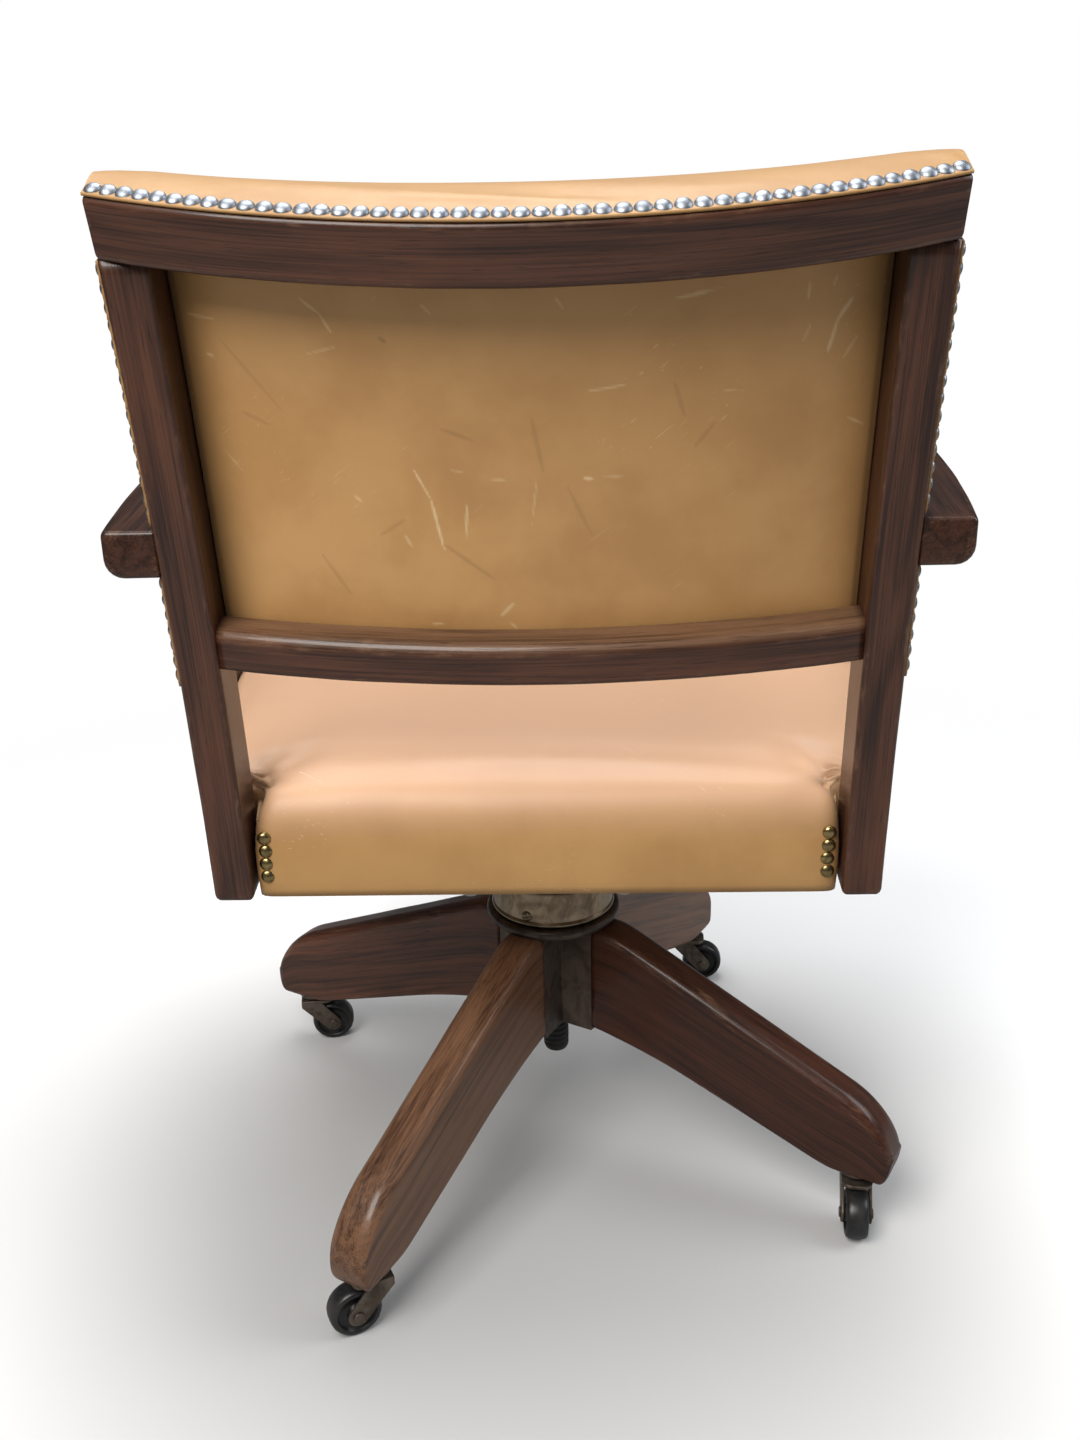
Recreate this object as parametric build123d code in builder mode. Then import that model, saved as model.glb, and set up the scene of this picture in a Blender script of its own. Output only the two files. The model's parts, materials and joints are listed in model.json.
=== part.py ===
from build123d import *
import os
from math import asin, cos, radians, sin

# Swivel desk armchair: oak frame, leather upholstery, four-leg base on casters.
# Millimetres. +Z up, the sitter faces -Y, the origin is on the floor below the spindle.

os.makedirs("parts", exist_ok=True)

# Fits
slide_gap = 0.08      # radial clearance of a shaft that turns or slides
flat_gap = 0.3        # clearance between faces that pass each other
soft_gap = 0.4        # clearance round upholstery

# Casters
wheel_d = 44.0
wheel_w = 19.0
wheel_web = 4.0       # depth of the dish in each wheel face
wheel_rim = 5.0       # radial thickness of the tread beside the dish
axle_d = 6.0
trail = 18.0          # from the stem to the axle
fork_plate = 2.5
fork_side_gap = 1.2
crown_gap = 4.0       # wheel top to the underside of the crown
crown_t = 3.5
axle_eye_r = 8.5       # fork round the axle
horn_back = 14.0      # crown in front of the stem
horn_front = 20.0     # crown over the wheel
stem_d = 8.0
stem_grip = 34.0      # stem length inside the leg
stem_end_gap = 2.0    # free depth above the end of the stem
horn_drop = 4.0       # front of the crown, turned down
axle_head_t = 1.5
nave_wall = 4.0       # wheel's nave round the axle
wheel_draft = 1.0     # slope of the dish's sides
wheel_crown = 3.0     # tread lower at its sides
socket_wall = 3.0
socket_cap = 2.0
socket_flange_d = 30.0
socket_flange_t = 3.0
stem_back = 24.0      # stem behind the front end of the foot
base_turn = 61.15     # heading of the rear left leg
caster_names = ["rear_left", "rear_right", "front_right", "front_left"]
caster_headings = [26.0, 84.0, 177.0, 189.0]

# Base
foot_z = 58.0         # underside of a leg over its caster
leg_t = 36.0
leg_toe = 327.0       # front end of the flat under the foot, from the middle of the base
nose_reach = 10.0     # nose beyond the toe
nose_back = 1.5       # nose drawn back below its foremost point
nose_lip = 9.0        # height of the nose's lower bend over the foot
leg_nose_z = 84.0     # height of the foremost point of the nose
leg_top_z = 236.0     # top of the legs and of the hub below the flange
leg_shoulder = 69.0   # radius where the top starts to slope
break_back = 37.0     # behind the toe, where the slope turns into the nose
leg_break_z = 138.0
foot_flat = 45.0      # length of the flat under the foot
leg_arch = 156.0      # radius where the straight underside turns into the arch
leg_arch_z = 103.0
leg_round = 10.0      # rounding of the upper edges
leg_ease = 4.5        # rounding of the lower edges
hub_reach = 49.0      # hub cheeks end here
hub_foot_z = 128.0
hub_step = 2.0        # underside of a leg above the foot of the hub
hub_collar_wall = 5.0
hub_collar_h = 4.0
tenon_t = 20.0
tenon_root = 25.0
tenon_shoulder = 10.0
flange_d = 124.0
flange_t = 10.0
flange_round = 4.2
plate_bore_gap = 1.0  # flange and washer round the spindle
leg_screw_d = 7.0
leg_screw_l = 62.0
leg_screw_head_d = 13.0
leg_screw_head_t = 3.5

# Height screw and its nut under a drum
spindle_d = 24.0
spindle_foot_z = 85.0
washer_d = 60.0
washer_t = 3.0
nut_d = 48.0
nut_h = 30.0
nut_web_z = 250.0
nut_web_t = 12.0
drum_d = 110.0
drum_wall = 2.5
drum_top_z = 286.0
drum_lip = 1.6        # rolled edge at the foot of the drum
drum_lip_h = 4.0
drum_round = 8.0
drum_bore_gap = 2.0
drum_screw_d = 6.0
drum_screw_l = 14.0
drum_screw_end = 2.0  # hole beyond the end of the screw
drum_screw_lift = 0.2 # head off the curve of the drum
drum_screw_head_d = 10.0
drum_screw_head_t = 2.6
drum_screws = 3
drum_screw_turn = 65.3  # heading of the first one

# Tilt mechanism
boss_d = 52.0
boss_foot_z = 290.0
boss_top_z = 336.0
boss_cap = 4.0        # boss above the end of the spindle
pivot_y = -46.0
pivot_z = 328.0
pivot_d = 16.0
ear_r = 14.0
ear_t = 12.0
ear_gap = 84.0        # between the ears
cradle_t = 14.0       # thickness of the housing's floor
cradle_arm = 14.0     # width of the arms beside the spring
spring_d = 26.0       # outside
spring_wire = 4.2
spring_turns = 7
spring_axis_z = 301.0
spring_room = 2.5     # spring to the cradle's arms
spring_length = 58.0
yoke_t = 10.0
yoke_sleeve_d = 26.0
yoke_plate_y = 40.0
lug_t = 12.0
lug_r = 17.0
window_margin = 10.0  # housing left between the boss and the spring's window
axle_cap = 3.0
yoke_side_gap = 2.0
spring_seat_t = 3.6
knob_d = 42.0
knob_l = 26.0
knob_flutes = 8
knob_screw_d = 14.0
knob_neck = 10.0
knob_flute_r = 6.0
knob_flute_out = 3.0   # centre of a flute outside the rim
iron_w = 30.0
iron_t = 8.0
iron_x = 60.0         # middle of a seat iron
iron_lug_t = 10.0
iron_end = 14.0       # overlap of an iron on the front and rear rails
iron_screw_d = 6.0
iron_screw_l = 30.0
iron_screw_head_d = 12.0
iron_screw_head_t = 3.0

# Seat
seat_foot_z = 362.0
seat_rear_y = 202.0
seat_front_y = -236.0
seat_rear_half = 260.0
seat_front_half = 306.0
seat_front_bow = 12.0
seat_crown_z = 466.0
seat_crown_r = 1300.0
seat_crown_y = -30.0
seat_side_draw = 3.0  # sides drawn in between the corners
seat_roll = 20.0      # rolled upper edge
seat_corner = 40.0    # front corners in plan
seat_rear_corner = 24.0
seat_skin = 5.0       # leather and wadding outside the rails
rail_corner_in = 12.0 # front corners of the rails inside the seat's round corners
rail_front_in = 7.0
rail_t = 24.0
rail_h = 54.0
board_t = 6.0
dust_t = 2.0
board_vent_d = 30.0
board_vent_pitch = 110.0
seat_notch_y = 164.5  # front of the notches round the posts

# Back frame
frame_width = 510.0
post_w = 30.0
post_depth = 44.0
post_foot_y = 209.7
post_foot_z = 358.5
post_foot_lean = 4.8  # degrees from upright
post_curve_r = 2750.0
post_round = 3.0
post_foot_round = 7.0
crest_foot_z = 834.8
crest_lean = 20.0     # degrees
crest_h = 38.0
crest_t = 28.0
crest_bow = 54.0
crest_ease = 3.0
lower_rail_z = 555.0
lower_rail_h = 31.0
lower_rail_depth = 29.0
lower_rail_bow = 30.0
lower_rail_inset = 3.0
lower_rail_round = 8.0
panel_t = 3.0
panel_gap = 2.6       # lower rail to the foot of the panel
panel_top_z = 856.0
panel_top_bow = 48.0
panel_tuck = 5.0       # foot of the panel above the foot of the lower rail
hide_t = 2.2          # leather folded over the frame
back_edge_t = 18.0    # back cushion beside the posts
back_middle_t = 44.0  # back cushion in the middle
back_side_draw = 6.0  # sides of the back cushion drawn in at the front
back_section_z = [540.0, 552.0, 590.0, 700.0, 810.0, 848.0, 866.0]
back_section_swell = [0.25, 0.65, 1.0, 1.0, 0.95, 0.65, 0.22]
side_hide_z = 541.0
side_hide_inset = 7.0
crest_hide_inset = 1.5
hide_clear = 2.0

# Arms
arm_top_z = 660.0
arm_t = 33.0
arm_rear_y = 244.0
arm_rear_half = 293.0
arm_middle_y = 120.0
arm_middle_half = 311.0
arm_front_half = 327.0
arm_front_y = -64.0
arm_paw = 27.0        # half width of the rounded front end
arm_under_round = 13.0
arm_ease = 4.0
prop_y = -64.0        # middle of the arm support
prop_depth = 42.0
prop_w = 26.0
prop_foot_z = 368.0
prop_round = 5.0
post_bolt_d = 8.0
post_bolt_l = 70.0
post_bolt_head_d = 18.0
post_bolt_head_t = 4.0
post_bolt_rise = 22.0 # first bolt above the seat's underside
post_bolt_pitch = 26.0

# Nails
nail_d = 10.6
nail_h = 3.0
nail_pitch = 11.0
nail_taper = 38.0
nail_sides = 8
nail_inset = 6.5      # nail centre to the edge of the leather
seat_nails_a_side = 4
seat_nail_pitch = 10.7
seat_nail_x = 214.0
seat_nail_z = 378.5

# Derived sizes
axle_z = wheel_d / 2
crown_foot_z = wheel_d + crown_gap
crown_top_z = crown_foot_z + crown_t
fork_inside = wheel_w + 2 * fork_side_gap
fork_outside = fork_inside + 2 * fork_plate
socket_d = stem_d + 2 * slide_gap + 2 * socket_wall
socket_top_z = foot_z + stem_grip + stem_end_gap + socket_cap
leg_tip = leg_toe + nose_reach
leg_break = leg_toe - break_back
leg_heel = leg_toe - foot_flat
stem_radius = leg_toe - stem_back
leg_screw_radius = (tenon_root + hub_reach) / 2
flange_top_z = leg_top_z + flange_t
washer_top_z = flange_top_z + washer_t
spindle_top_z = boss_top_z - boss_cap
bore_d = spindle_d + 2 * slide_gap
post_outer = frame_width / 2
post_inner = post_outer - post_w
rail_foot_z = seat_foot_z + dust_t
board_foot_z = rail_foot_z + rail_h
pad_foot_z = board_foot_z + board_t
iron_foot_z = seat_foot_z - iron_t
arm_foot_z = arm_top_z - arm_t
panel_recess = lower_rail_inset + lower_rail_depth + panel_gap
back_board_t = post_depth - panel_recess - panel_t
spring_back_y = pivot_y - yoke_t / 2 - flat_gap
spring_front_y = spring_back_y - spring_length
lug_back_y = spring_front_y - flat_gap - spring_seat_t - soft_gap
lug_front_y = lug_back_y - lug_t
window_half = spring_d / 2 + spring_room
cradle_half = window_half + cradle_arm
ear_outer = ear_gap / 2 + ear_t
axle_reach = iron_x + iron_lug_t / 2 + flat_gap
frame_rear_y = seat_rear_y - seat_skin
frame_front_y = seat_front_y + seat_front_bow + seat_skin + rail_front_in
frame_rear_half = post_inner - soft_gap - seat_skin
frame_front_half = seat_front_half - seat_skin - seat_side_draw - rail_corner_in
rear_rail_y = frame_rear_y - rail_t
front_rail_y = frame_front_y + rail_t
post_bolt_y = (rear_rail_y + frame_rear_y) / 2
prop_share = (seat_rear_y - prop_y) / (seat_rear_y - seat_front_y)
prop_inner = seat_rear_half + (seat_front_half - seat_rear_half) * prop_share + soft_gap


def upright(angle, origin=(0, 0, 0)):
    # Vertical plane through the origin: x runs outwards along the heading, y runs up.
    a = radians(angle)
    return Plane(origin=origin, x_dir=(cos(a), sin(a), 0), z_dir=(sin(a), -cos(a), 0))


def level(z, angle=0.0, x=0.0, y=0.0):
    # Horizontal plane at a height, with its x along the heading.
    a = radians(angle)
    return Plane(origin=(x, y, z), x_dir=(cos(a), sin(a), 0), z_dir=(0, 0, 1))


def flank(side, x):
    # Plane that faces outwards on one side: local x is side times Y, local y is Z.
    return Plane(origin=(side * x, 0, 0), x_dir=(0, side, 0), z_dir=(side, 0, 0))


def post_lean(z):
    return asin(sin(radians(post_foot_lean)) + (z - post_foot_z) / post_curve_r)


def post_rear(z):
    return post_foot_y + post_curve_r * (cos(radians(post_foot_lean)) - cos(post_lean(z)))


def post_point(z, inward):
    # Point a given depth inside the rear face of the posts, square to that face, as (y, z).
    a = post_lean(z)
    return (post_rear(z) - inward * cos(a), z + inward * sin(a))


def across_back(z, lean=None):
    # Plane square to the posts at a height: local y points backwards, z up along the back.
    a = post_lean(z) if lean is None else radians(lean)
    return Plane(origin=(0, post_rear(z), z), x_dir=(1, 0, 0), z_dir=(0, sin(a), cos(a)))


def save(builder, name):
    builder.part.label = name
    export_step(builder.part, f"parts/{name}.step")


def bowed_band(half, rear, depth, bow, front_bow=None):
    # Face between two arcs across the back, from rear to rear minus depth at its ends.
    front_bow = bow if front_bow is None else front_bow
    with BuildSketch(Plane.XY) as band:
        with BuildLine():
            ThreePointArc((-half, rear), (0, rear + bow), (half, rear))
            Line((half, rear), (half, rear - depth))
            ThreePointArc((half, rear - depth), (0, rear - depth + front_bow), (-half, rear - depth))
            Line((-half, rear - depth), (-half, rear))
        make_face()
    return band.sketch


def leg_middle_z(radius):
    # Height halfway between the top and the underside of a leg.
    share = (radius - hub_reach) / (leg_tip - hub_reach)
    return (leg_top_z + hub_foot_z) / 2 + ((leg_nose_z + foot_z) / 2 - (leg_top_z + hub_foot_z) / 2) * share


def seat_half(y):
    # Half width of the seat cushion at a depth.
    share = (seat_rear_y - y) / (seat_rear_y - seat_front_y)
    draw = 4 * seat_side_draw * share * (1 - share)
    return seat_rear_half + (seat_front_half - seat_rear_half) * share - draw


def frame_half(y):
    # Half width of the wooden seat frame at a depth.
    share = (frame_rear_y - y) / (frame_rear_y - frame_front_y)
    return frame_rear_half + (frame_front_half - frame_rear_half) * share


def frame_outline(front_y, rear_y, inner=0.0):
    # Corners of a slice of the seat frame from one depth to another.
    return [(frame_half(front_y) - inner, front_y), (frame_half(rear_y) - inner, rear_y)]


def back_bow(z):
    # Backward bow of the upholstered back at a height.
    share = (z - lower_rail_z) / (crest_foot_z - lower_rail_z)
    return lower_rail_bow + (panel_top_bow - lower_rail_bow) * share


def bolt_places(side):
    # Middle of each frame bolt on one side, as (face x, y, z).
    heights = [seat_foot_z + post_bolt_rise, seat_foot_z + post_bolt_rise + post_bolt_pitch]
    at_post = [(side * post_outer, post_bolt_y, z) for z in heights]
    at_prop = [(side * (prop_inner + prop_w), prop_y, z) for z in heights]
    return at_post + at_prop


def bolt_axes(side):
    # Plane at the middle of each frame bolt's shank on one side, square to the bolt.
    axes = []
    for x, y, z in bolt_places(side):
        axes.append(Plane(origin=(x - side * post_bolt_l / 2, y, z), x_dir=(0, 1, 0), z_dir=(1, 0, 0)))
    return axes


# Legs of the base, each with a tenon for the hub
for name, quarter in zip(caster_names, range(4)):
    heading = base_turn + 90 * quarter
    side = upright(heading)
    slope = (leg_top_z - leg_break_z) / (leg_break - leg_shoulder)
    with BuildPart() as leg:
        with BuildSketch(side):
            with BuildLine():
                Line((hub_reach, leg_top_z), (leg_shoulder, leg_top_z))
                Line((leg_shoulder, leg_top_z), (leg_break, leg_break_z))
                TangentArc((leg_break, leg_break_z), (leg_tip, leg_nose_z), tangent=(1, -slope))
                Line((leg_tip, leg_nose_z), (leg_tip - nose_back, foot_z + nose_lip))
                Line((leg_tip - nose_back, foot_z + nose_lip), (leg_toe, foot_z))
                Line((leg_toe, foot_z), (leg_heel, foot_z))
                Line((leg_heel, foot_z), (leg_arch, leg_arch_z))
                TangentArc((leg_arch, leg_arch_z), (hub_reach, hub_foot_z + hub_step),
                           tangent=(leg_arch - leg_heel, leg_arch_z - foot_z))
                Line((hub_reach, hub_foot_z + hub_step), (hub_reach, leg_top_z))
            make_face()
        extrude(amount=leg_t / 2, both=True)
        outline = []
        for edge in leg.edges():
            middle = side.to_local_coords(edge.center())
            if abs(middle.Z) > leg_t / 4 and middle.X > leg_shoulder:
                outline.append((edge, middle))
        upper = [edge for edge, middle in outline if middle.Y > leg_middle_z(middle.X)]
        lower = [edge for edge, middle in outline if middle.Y < leg_middle_z(middle.X)]
        fillet(upper, leg_round)
        fillet(lower, leg_ease)
        with BuildSketch(side):
            with Locations(((tenon_root + hub_reach) / 2, (hub_foot_z + leg_top_z) / 2)):
                Rectangle(hub_reach - tenon_root, leg_top_z - hub_foot_z - 2 * tenon_shoulder)
        extrude(amount=tenon_t / 2, both=True)
        with BuildSketch(level(foot_z, heading)):
            with Locations((stem_radius, 0)):
                Circle(socket_d / 2)
        extrude(amount=socket_top_z - foot_z, mode=Mode.SUBTRACT)
        with BuildSketch(level(leg_top_z, heading)):
            with Locations((leg_screw_radius, 0)):
                Circle(leg_screw_d / 2)
        extrude(amount=-leg_screw_l, mode=Mode.SUBTRACT)
    save(leg, f"leg_{name}")

# Hub casting: a cross of four sockets round the spindle bore
with BuildPart() as hub:
    with BuildSketch(level(hub_foot_z, base_turn)):
        Rectangle(2 * hub_reach, leg_t)
        Rectangle(leg_t, 2 * hub_reach)
    extrude(amount=leg_top_z - hub_foot_z)
    with BuildSketch(level(hub_foot_z)):
        Circle(bore_d / 2)
    extrude(amount=leg_top_z - hub_foot_z, mode=Mode.SUBTRACT)
    with BuildSketch(level(hub_foot_z + tenon_shoulder - flat_gap, base_turn)):
        with PolarLocations((tenon_root + hub_reach) / 2, 4):
            Rectangle(hub_reach - tenon_root + 2 * flat_gap, tenon_t + 2 * slide_gap)
    extrude(amount=leg_top_z - hub_foot_z - 2 * tenon_shoulder + 2 * flat_gap, mode=Mode.SUBTRACT)
    with BuildSketch(level(leg_top_z, base_turn)):
        with PolarLocations(leg_screw_radius, 4):
            Circle(leg_screw_d / 2)
    extrude(amount=-tenon_shoulder, mode=Mode.SUBTRACT)
    with BuildSketch(level(hub_foot_z)):
        Circle(spindle_d / 2 + hub_collar_wall)
        Circle(bore_d / 2, mode=Mode.SUBTRACT)
    extrude(amount=-hub_collar_h)
save(hub, "hub_casting")

# Flange on the hub, held down by a screw into each tenon
with BuildPart() as flange:
    with BuildSketch(level(leg_top_z)):
        Circle(flange_d / 2)
        Circle(bore_d / 2 + plate_bore_gap, mode=Mode.SUBTRACT)
    extrude(amount=flange_t)
    fillet(flange.edges().filter_by(GeomType.CIRCLE).group_by(SortBy.RADIUS)[-1], flange_round)
    with Locations(level(flange_top_z, base_turn)):
        with PolarLocations(leg_screw_radius, 4):
            CounterBoreHole(leg_screw_d / 2, leg_screw_head_d / 2 + slide_gap, leg_screw_head_t)
save(flange, "hub_flange")

with BuildPart() as leg_screws:
    with BuildSketch(level(flange_top_z, base_turn)):
        with PolarLocations(leg_screw_radius, 4):
            Circle(leg_screw_head_d / 2)
    extrude(amount=-leg_screw_head_t)
    with BuildSketch(level(flange_top_z - leg_screw_head_t, base_turn)):
        with PolarLocations(leg_screw_radius, 4):
            Circle(leg_screw_d / 2 - slide_gap)
    extrude(amount=-leg_screw_l)
save(leg_screws, "leg_screws")

with BuildPart() as washer:
    with BuildSketch(level(flange_top_z)):
        Circle(washer_d / 2)
        Circle(bore_d / 2 + plate_bore_gap, mode=Mode.SUBTRACT)
    extrude(amount=washer_t)
save(washer, "thrust_washer")

# Casters: socket, fork with its stem, axle and wheel
for name, quarter, heading in zip(caster_names, range(4), caster_headings):
    a = radians(base_turn + 90 * quarter)
    stem_x = stem_radius * cos(a)
    stem_y = stem_radius * sin(a)
    side = upright(heading, (stem_x, stem_y, 0))
    with BuildPart() as socket:
        with BuildSketch(level(foot_z - socket_flange_t, 0, stem_x, stem_y)):
            Circle(socket_flange_d / 2)
        extrude(amount=socket_flange_t)
        with BuildSketch(level(foot_z, 0, stem_x, stem_y)):
            Circle(socket_d / 2)
        extrude(amount=socket_top_z - foot_z)
        with BuildSketch(level(foot_z - socket_flange_t, 0, stem_x, stem_y)):
            Circle(stem_d / 2 + slide_gap)
        extrude(amount=socket_flange_t + stem_grip + stem_end_gap, mode=Mode.SUBTRACT)
    save(socket, f"caster_socket_{name}")

    with BuildPart() as fork:
        with BuildSketch(side):
            with BuildLine():
                Line((-horn_back, crown_top_z), (horn_back / 3, crown_top_z))
                Line((horn_back / 3, crown_top_z), (horn_back / 3, crown_foot_z))
                Line((-horn_back, crown_top_z), (-horn_back, crown_foot_z - horn_drop))
                CenterArc((trail, axle_z), axle_eye_r, 0, 360)
            make_hull()
        extrude(amount=fork_outside / 2, both=True)
        with BuildSketch(level(crown_foot_z, heading, stem_x, stem_y)):
            with Locations(((horn_front - horn_back) / 2, 0)):
                RectangleRounded(horn_front + horn_back, fork_outside, horn_back * 0.6)
        extrude(amount=crown_t)
        with BuildSketch(side):
            with Locations((0, crown_foot_z)):
                Rectangle(6 * trail, 2 * crown_foot_z, align=(Align.CENTER, Align.MAX))
        extrude(amount=fork_inside / 2, both=True, mode=Mode.SUBTRACT)
        with BuildSketch(level(crown_top_z, 0, stem_x, stem_y)):
            Circle(stem_d)
        extrude(amount=foot_z - socket_flange_t - flat_gap - crown_top_z)
        with BuildSketch(level(crown_top_z, 0, stem_x, stem_y)):
            Circle(stem_d / 2)
        extrude(amount=foot_z + stem_grip - crown_top_z)
        with BuildSketch(side):
            with Locations((trail, axle_z)):
                Circle(axle_d / 2)
        extrude(amount=fork_outside, both=True, mode=Mode.SUBTRACT)
    save(fork, f"caster_fork_{name}")

    with BuildPart() as axle:
        with BuildSketch(side):
            with Locations((trail, axle_z)):
                Circle(axle_d / 2)
        extrude(amount=fork_outside / 2 + axle_head_t, both=True)
        for end in (-1, 1):
            with BuildSketch(side.offset(end * fork_outside / 2)):
                with Locations((trail, axle_z)):
                    Circle(axle_d * 0.75)
            extrude(amount=end * axle_head_t)
    save(axle, f"caster_axle_{name}")

    ahead = (cos(radians(heading)), sin(radians(heading)), 0)
    axle_point = (stem_x + trail * ahead[0], stem_y + trail * ahead[1], axle_z)
    across = Plane(origin=axle_point, x_dir=side.z_dir, z_dir=ahead)
    bore_r = axle_d / 2 + slide_gap
    tread_r = wheel_d / 2
    dish_r = tread_r - wheel_rim
    nave_r = axle_d / 2 + nave_wall
    nave_half = fork_inside / 2 - flat_gap
    rim_half = wheel_w / 2
    web_half = rim_half - wheel_web
    shoulder_r = tread_r - wheel_crown
    half_profile = [(nave_half, bore_r), (nave_half, nave_r), (web_half, nave_r + wheel_draft),
                    (web_half, dish_r - wheel_draft), (rim_half, dish_r), (rim_half, shoulder_r)]
    with BuildPart() as wheel:
        with BuildSketch(across):
            with BuildLine():
                Polyline(*half_profile)
                ThreePointArc((rim_half, shoulder_r), (0, tread_r), (-rim_half, shoulder_r))
                Polyline(*[(-w, r) for w, r in reversed(half_profile)])
                Line((-nave_half, bore_r), (nave_half, bore_r))
            make_face()
        revolve(axis=Axis(axle_point, side.z_dir))
    save(wheel, f"caster_wheel_{name}")

# Height screw, its nut and the drum that covers the nut
with BuildPart() as spindle:
    with BuildSketch(level(spindle_foot_z)):
        Circle(spindle_d / 2)
    extrude(amount=spindle_top_z - spindle_foot_z)
    fillet(spindle.edges().sort_by(Axis.Z)[0], spindle_d * 0.3)
save(spindle, "spindle")

with BuildPart() as nut:
    with BuildSketch(level(washer_top_z)):
        Circle(nut_d / 2)
    extrude(amount=nut_h)
    with BuildSketch(level(nut_web_z)):
        Circle(drum_d / 2 - drum_wall)
    extrude(amount=nut_web_t)
    with BuildSketch(level(washer_top_z)):
        Circle(bore_d / 2)
    extrude(amount=nut_h + nut_web_z, mode=Mode.SUBTRACT)
    with Locations(level(nut_web_z + nut_web_t / 2)):
        with PolarLocations(drum_d / 2 - drum_screw_l / 2, drum_screws, start_angle=drum_screw_turn):
            Cylinder(drum_screw_d / 2, drum_screw_l + drum_screw_end, rotation=(0, 90, 0), mode=Mode.SUBTRACT)
save(nut, "height_nut")

with BuildPart() as drum:
    with BuildSketch(Plane.XZ):
        with BuildLine():
            outer = drum_d / 2
            shoulder_z = drum_top_z - drum_round
            lip_z = flange_top_z + drum_lip_h
            rim_z = flange_top_z + soft_gap
            eye_r = bore_d / 2 + drum_bore_gap
            crown_r = outer - drum_round
            ceiling_z = drum_top_z - drum_wall
            Polyline((eye_r, drum_top_z), (crown_r, drum_top_z))
            RadiusArc((crown_r, drum_top_z), (outer, shoulder_z), drum_round)
            Line((outer, shoulder_z), (outer, lip_z))
            ThreePointArc((outer, lip_z), (outer + drum_lip, (lip_z + rim_z) / 2), (outer, rim_z))
            Polyline((outer, rim_z), (outer - drum_wall, rim_z), (outer - drum_wall, shoulder_z))
            RadiusArc((outer - drum_wall, shoulder_z), (crown_r, ceiling_z), drum_wall - drum_round)
            Polyline((crown_r, ceiling_z), (eye_r, ceiling_z), (eye_r, drum_top_z))
        make_face()
    revolve(axis=Axis.Z)
    with Locations(level(nut_web_z + nut_web_t / 2)):
        with PolarLocations(outer - drum_wall / 2, drum_screws, start_angle=drum_screw_turn):
            Cylinder(drum_screw_d / 2, 3 * drum_wall, rotation=(0, 90, 0), mode=Mode.SUBTRACT)
save(drum, "nut_drum")

with BuildPart() as drum_pins:
    with Locations(level(nut_web_z + nut_web_t / 2)):
        head_foot_r = outer + drum_screw_lift
        with PolarLocations(head_foot_r - drum_screw_l / 2, drum_screws, start_angle=drum_screw_turn):
            Cylinder(drum_screw_d / 2 - slide_gap, drum_screw_l, rotation=(0, 90, 0))
        with PolarLocations(head_foot_r + drum_screw_head_t / 2, drum_screws, start_angle=drum_screw_turn):
            Cylinder(drum_screw_head_d / 2, drum_screw_head_t, rotation=(0, 90, 0))
save(drum_pins, "drum_screws")

# Tilt housing: a casting on the spindle that carries the axle, the spring and the tension screw
with BuildPart() as housing:
    with BuildSketch(level(boss_foot_z)):
        Circle(boss_d / 2)
    extrude(amount=boss_top_z - boss_foot_z)
    with BuildSketch(level(boss_foot_z)):
        with Locations((0, lug_front_y)):
            Rectangle(2 * cradle_half, -lug_front_y, align=(Align.CENTER, Align.MIN))
        with Locations((0, pivot_y)):
            Rectangle(2 * ear_outer, 2 * ear_r)
        with Locations((0, lug_back_y)):
            Rectangle(2 * window_half, -boss_d / 2 - window_margin - lug_back_y,
                      align=(Align.CENTER, Align.MIN), mode=Mode.SUBTRACT)
    extrude(amount=cradle_t)
    with BuildSketch(Plane(origin=(0, lug_front_y, 0), x_dir=(-1, 0, 0), z_dir=(0, 1, 0))):
        with Locations((0, boss_foot_z)):
            Rectangle(2 * cradle_half, spring_axis_z - boss_foot_z, align=(Align.CENTER, Align.MIN))
        with Locations((0, spring_axis_z)):
            Circle(lug_r)
    extrude(amount=lug_t)
    with BuildSketch(Plane(origin=(0, lug_front_y, 0), x_dir=(-1, 0, 0), z_dir=(0, 1, 0))):
        with Locations((0, spring_axis_z)):
            Circle(knob_screw_d / 2 + slide_gap)
    extrude(amount=lug_t, mode=Mode.SUBTRACT)
    for side in (-1, 1):
        with BuildSketch(flank(side, ear_gap / 2)):
            with Locations((side * pivot_y, pivot_z)):
                Circle(ear_r)
            with Locations((side * pivot_y, boss_foot_z)):
                Rectangle(2 * ear_r, pivot_z - boss_foot_z, align=(Align.CENTER, Align.MIN))
            with Locations((side * pivot_y, pivot_z)):
                Circle(pivot_d / 2, mode=Mode.SUBTRACT)
        extrude(amount=ear_t)
    with BuildSketch(level(boss_foot_z)):
        Circle(spindle_d / 2)
    extrude(amount=spindle_top_z - boss_foot_z, mode=Mode.SUBTRACT)
save(housing, "tilt_housing")

with BuildPart() as tilt_axle:
    for side in (-1, 1):
        with BuildSketch(flank(side, 0)):
            with Locations((side * pivot_y, pivot_z)):
                Circle(pivot_d / 2)
        extrude(amount=axle_reach + axle_cap)
        with BuildSketch(flank(side, axle_reach)):
            with Locations((side * pivot_y, pivot_z)):
                Circle(pivot_d / 2 + axle_cap)
        extrude(amount=axle_cap)
save(tilt_axle, "tilt_axle")

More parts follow.
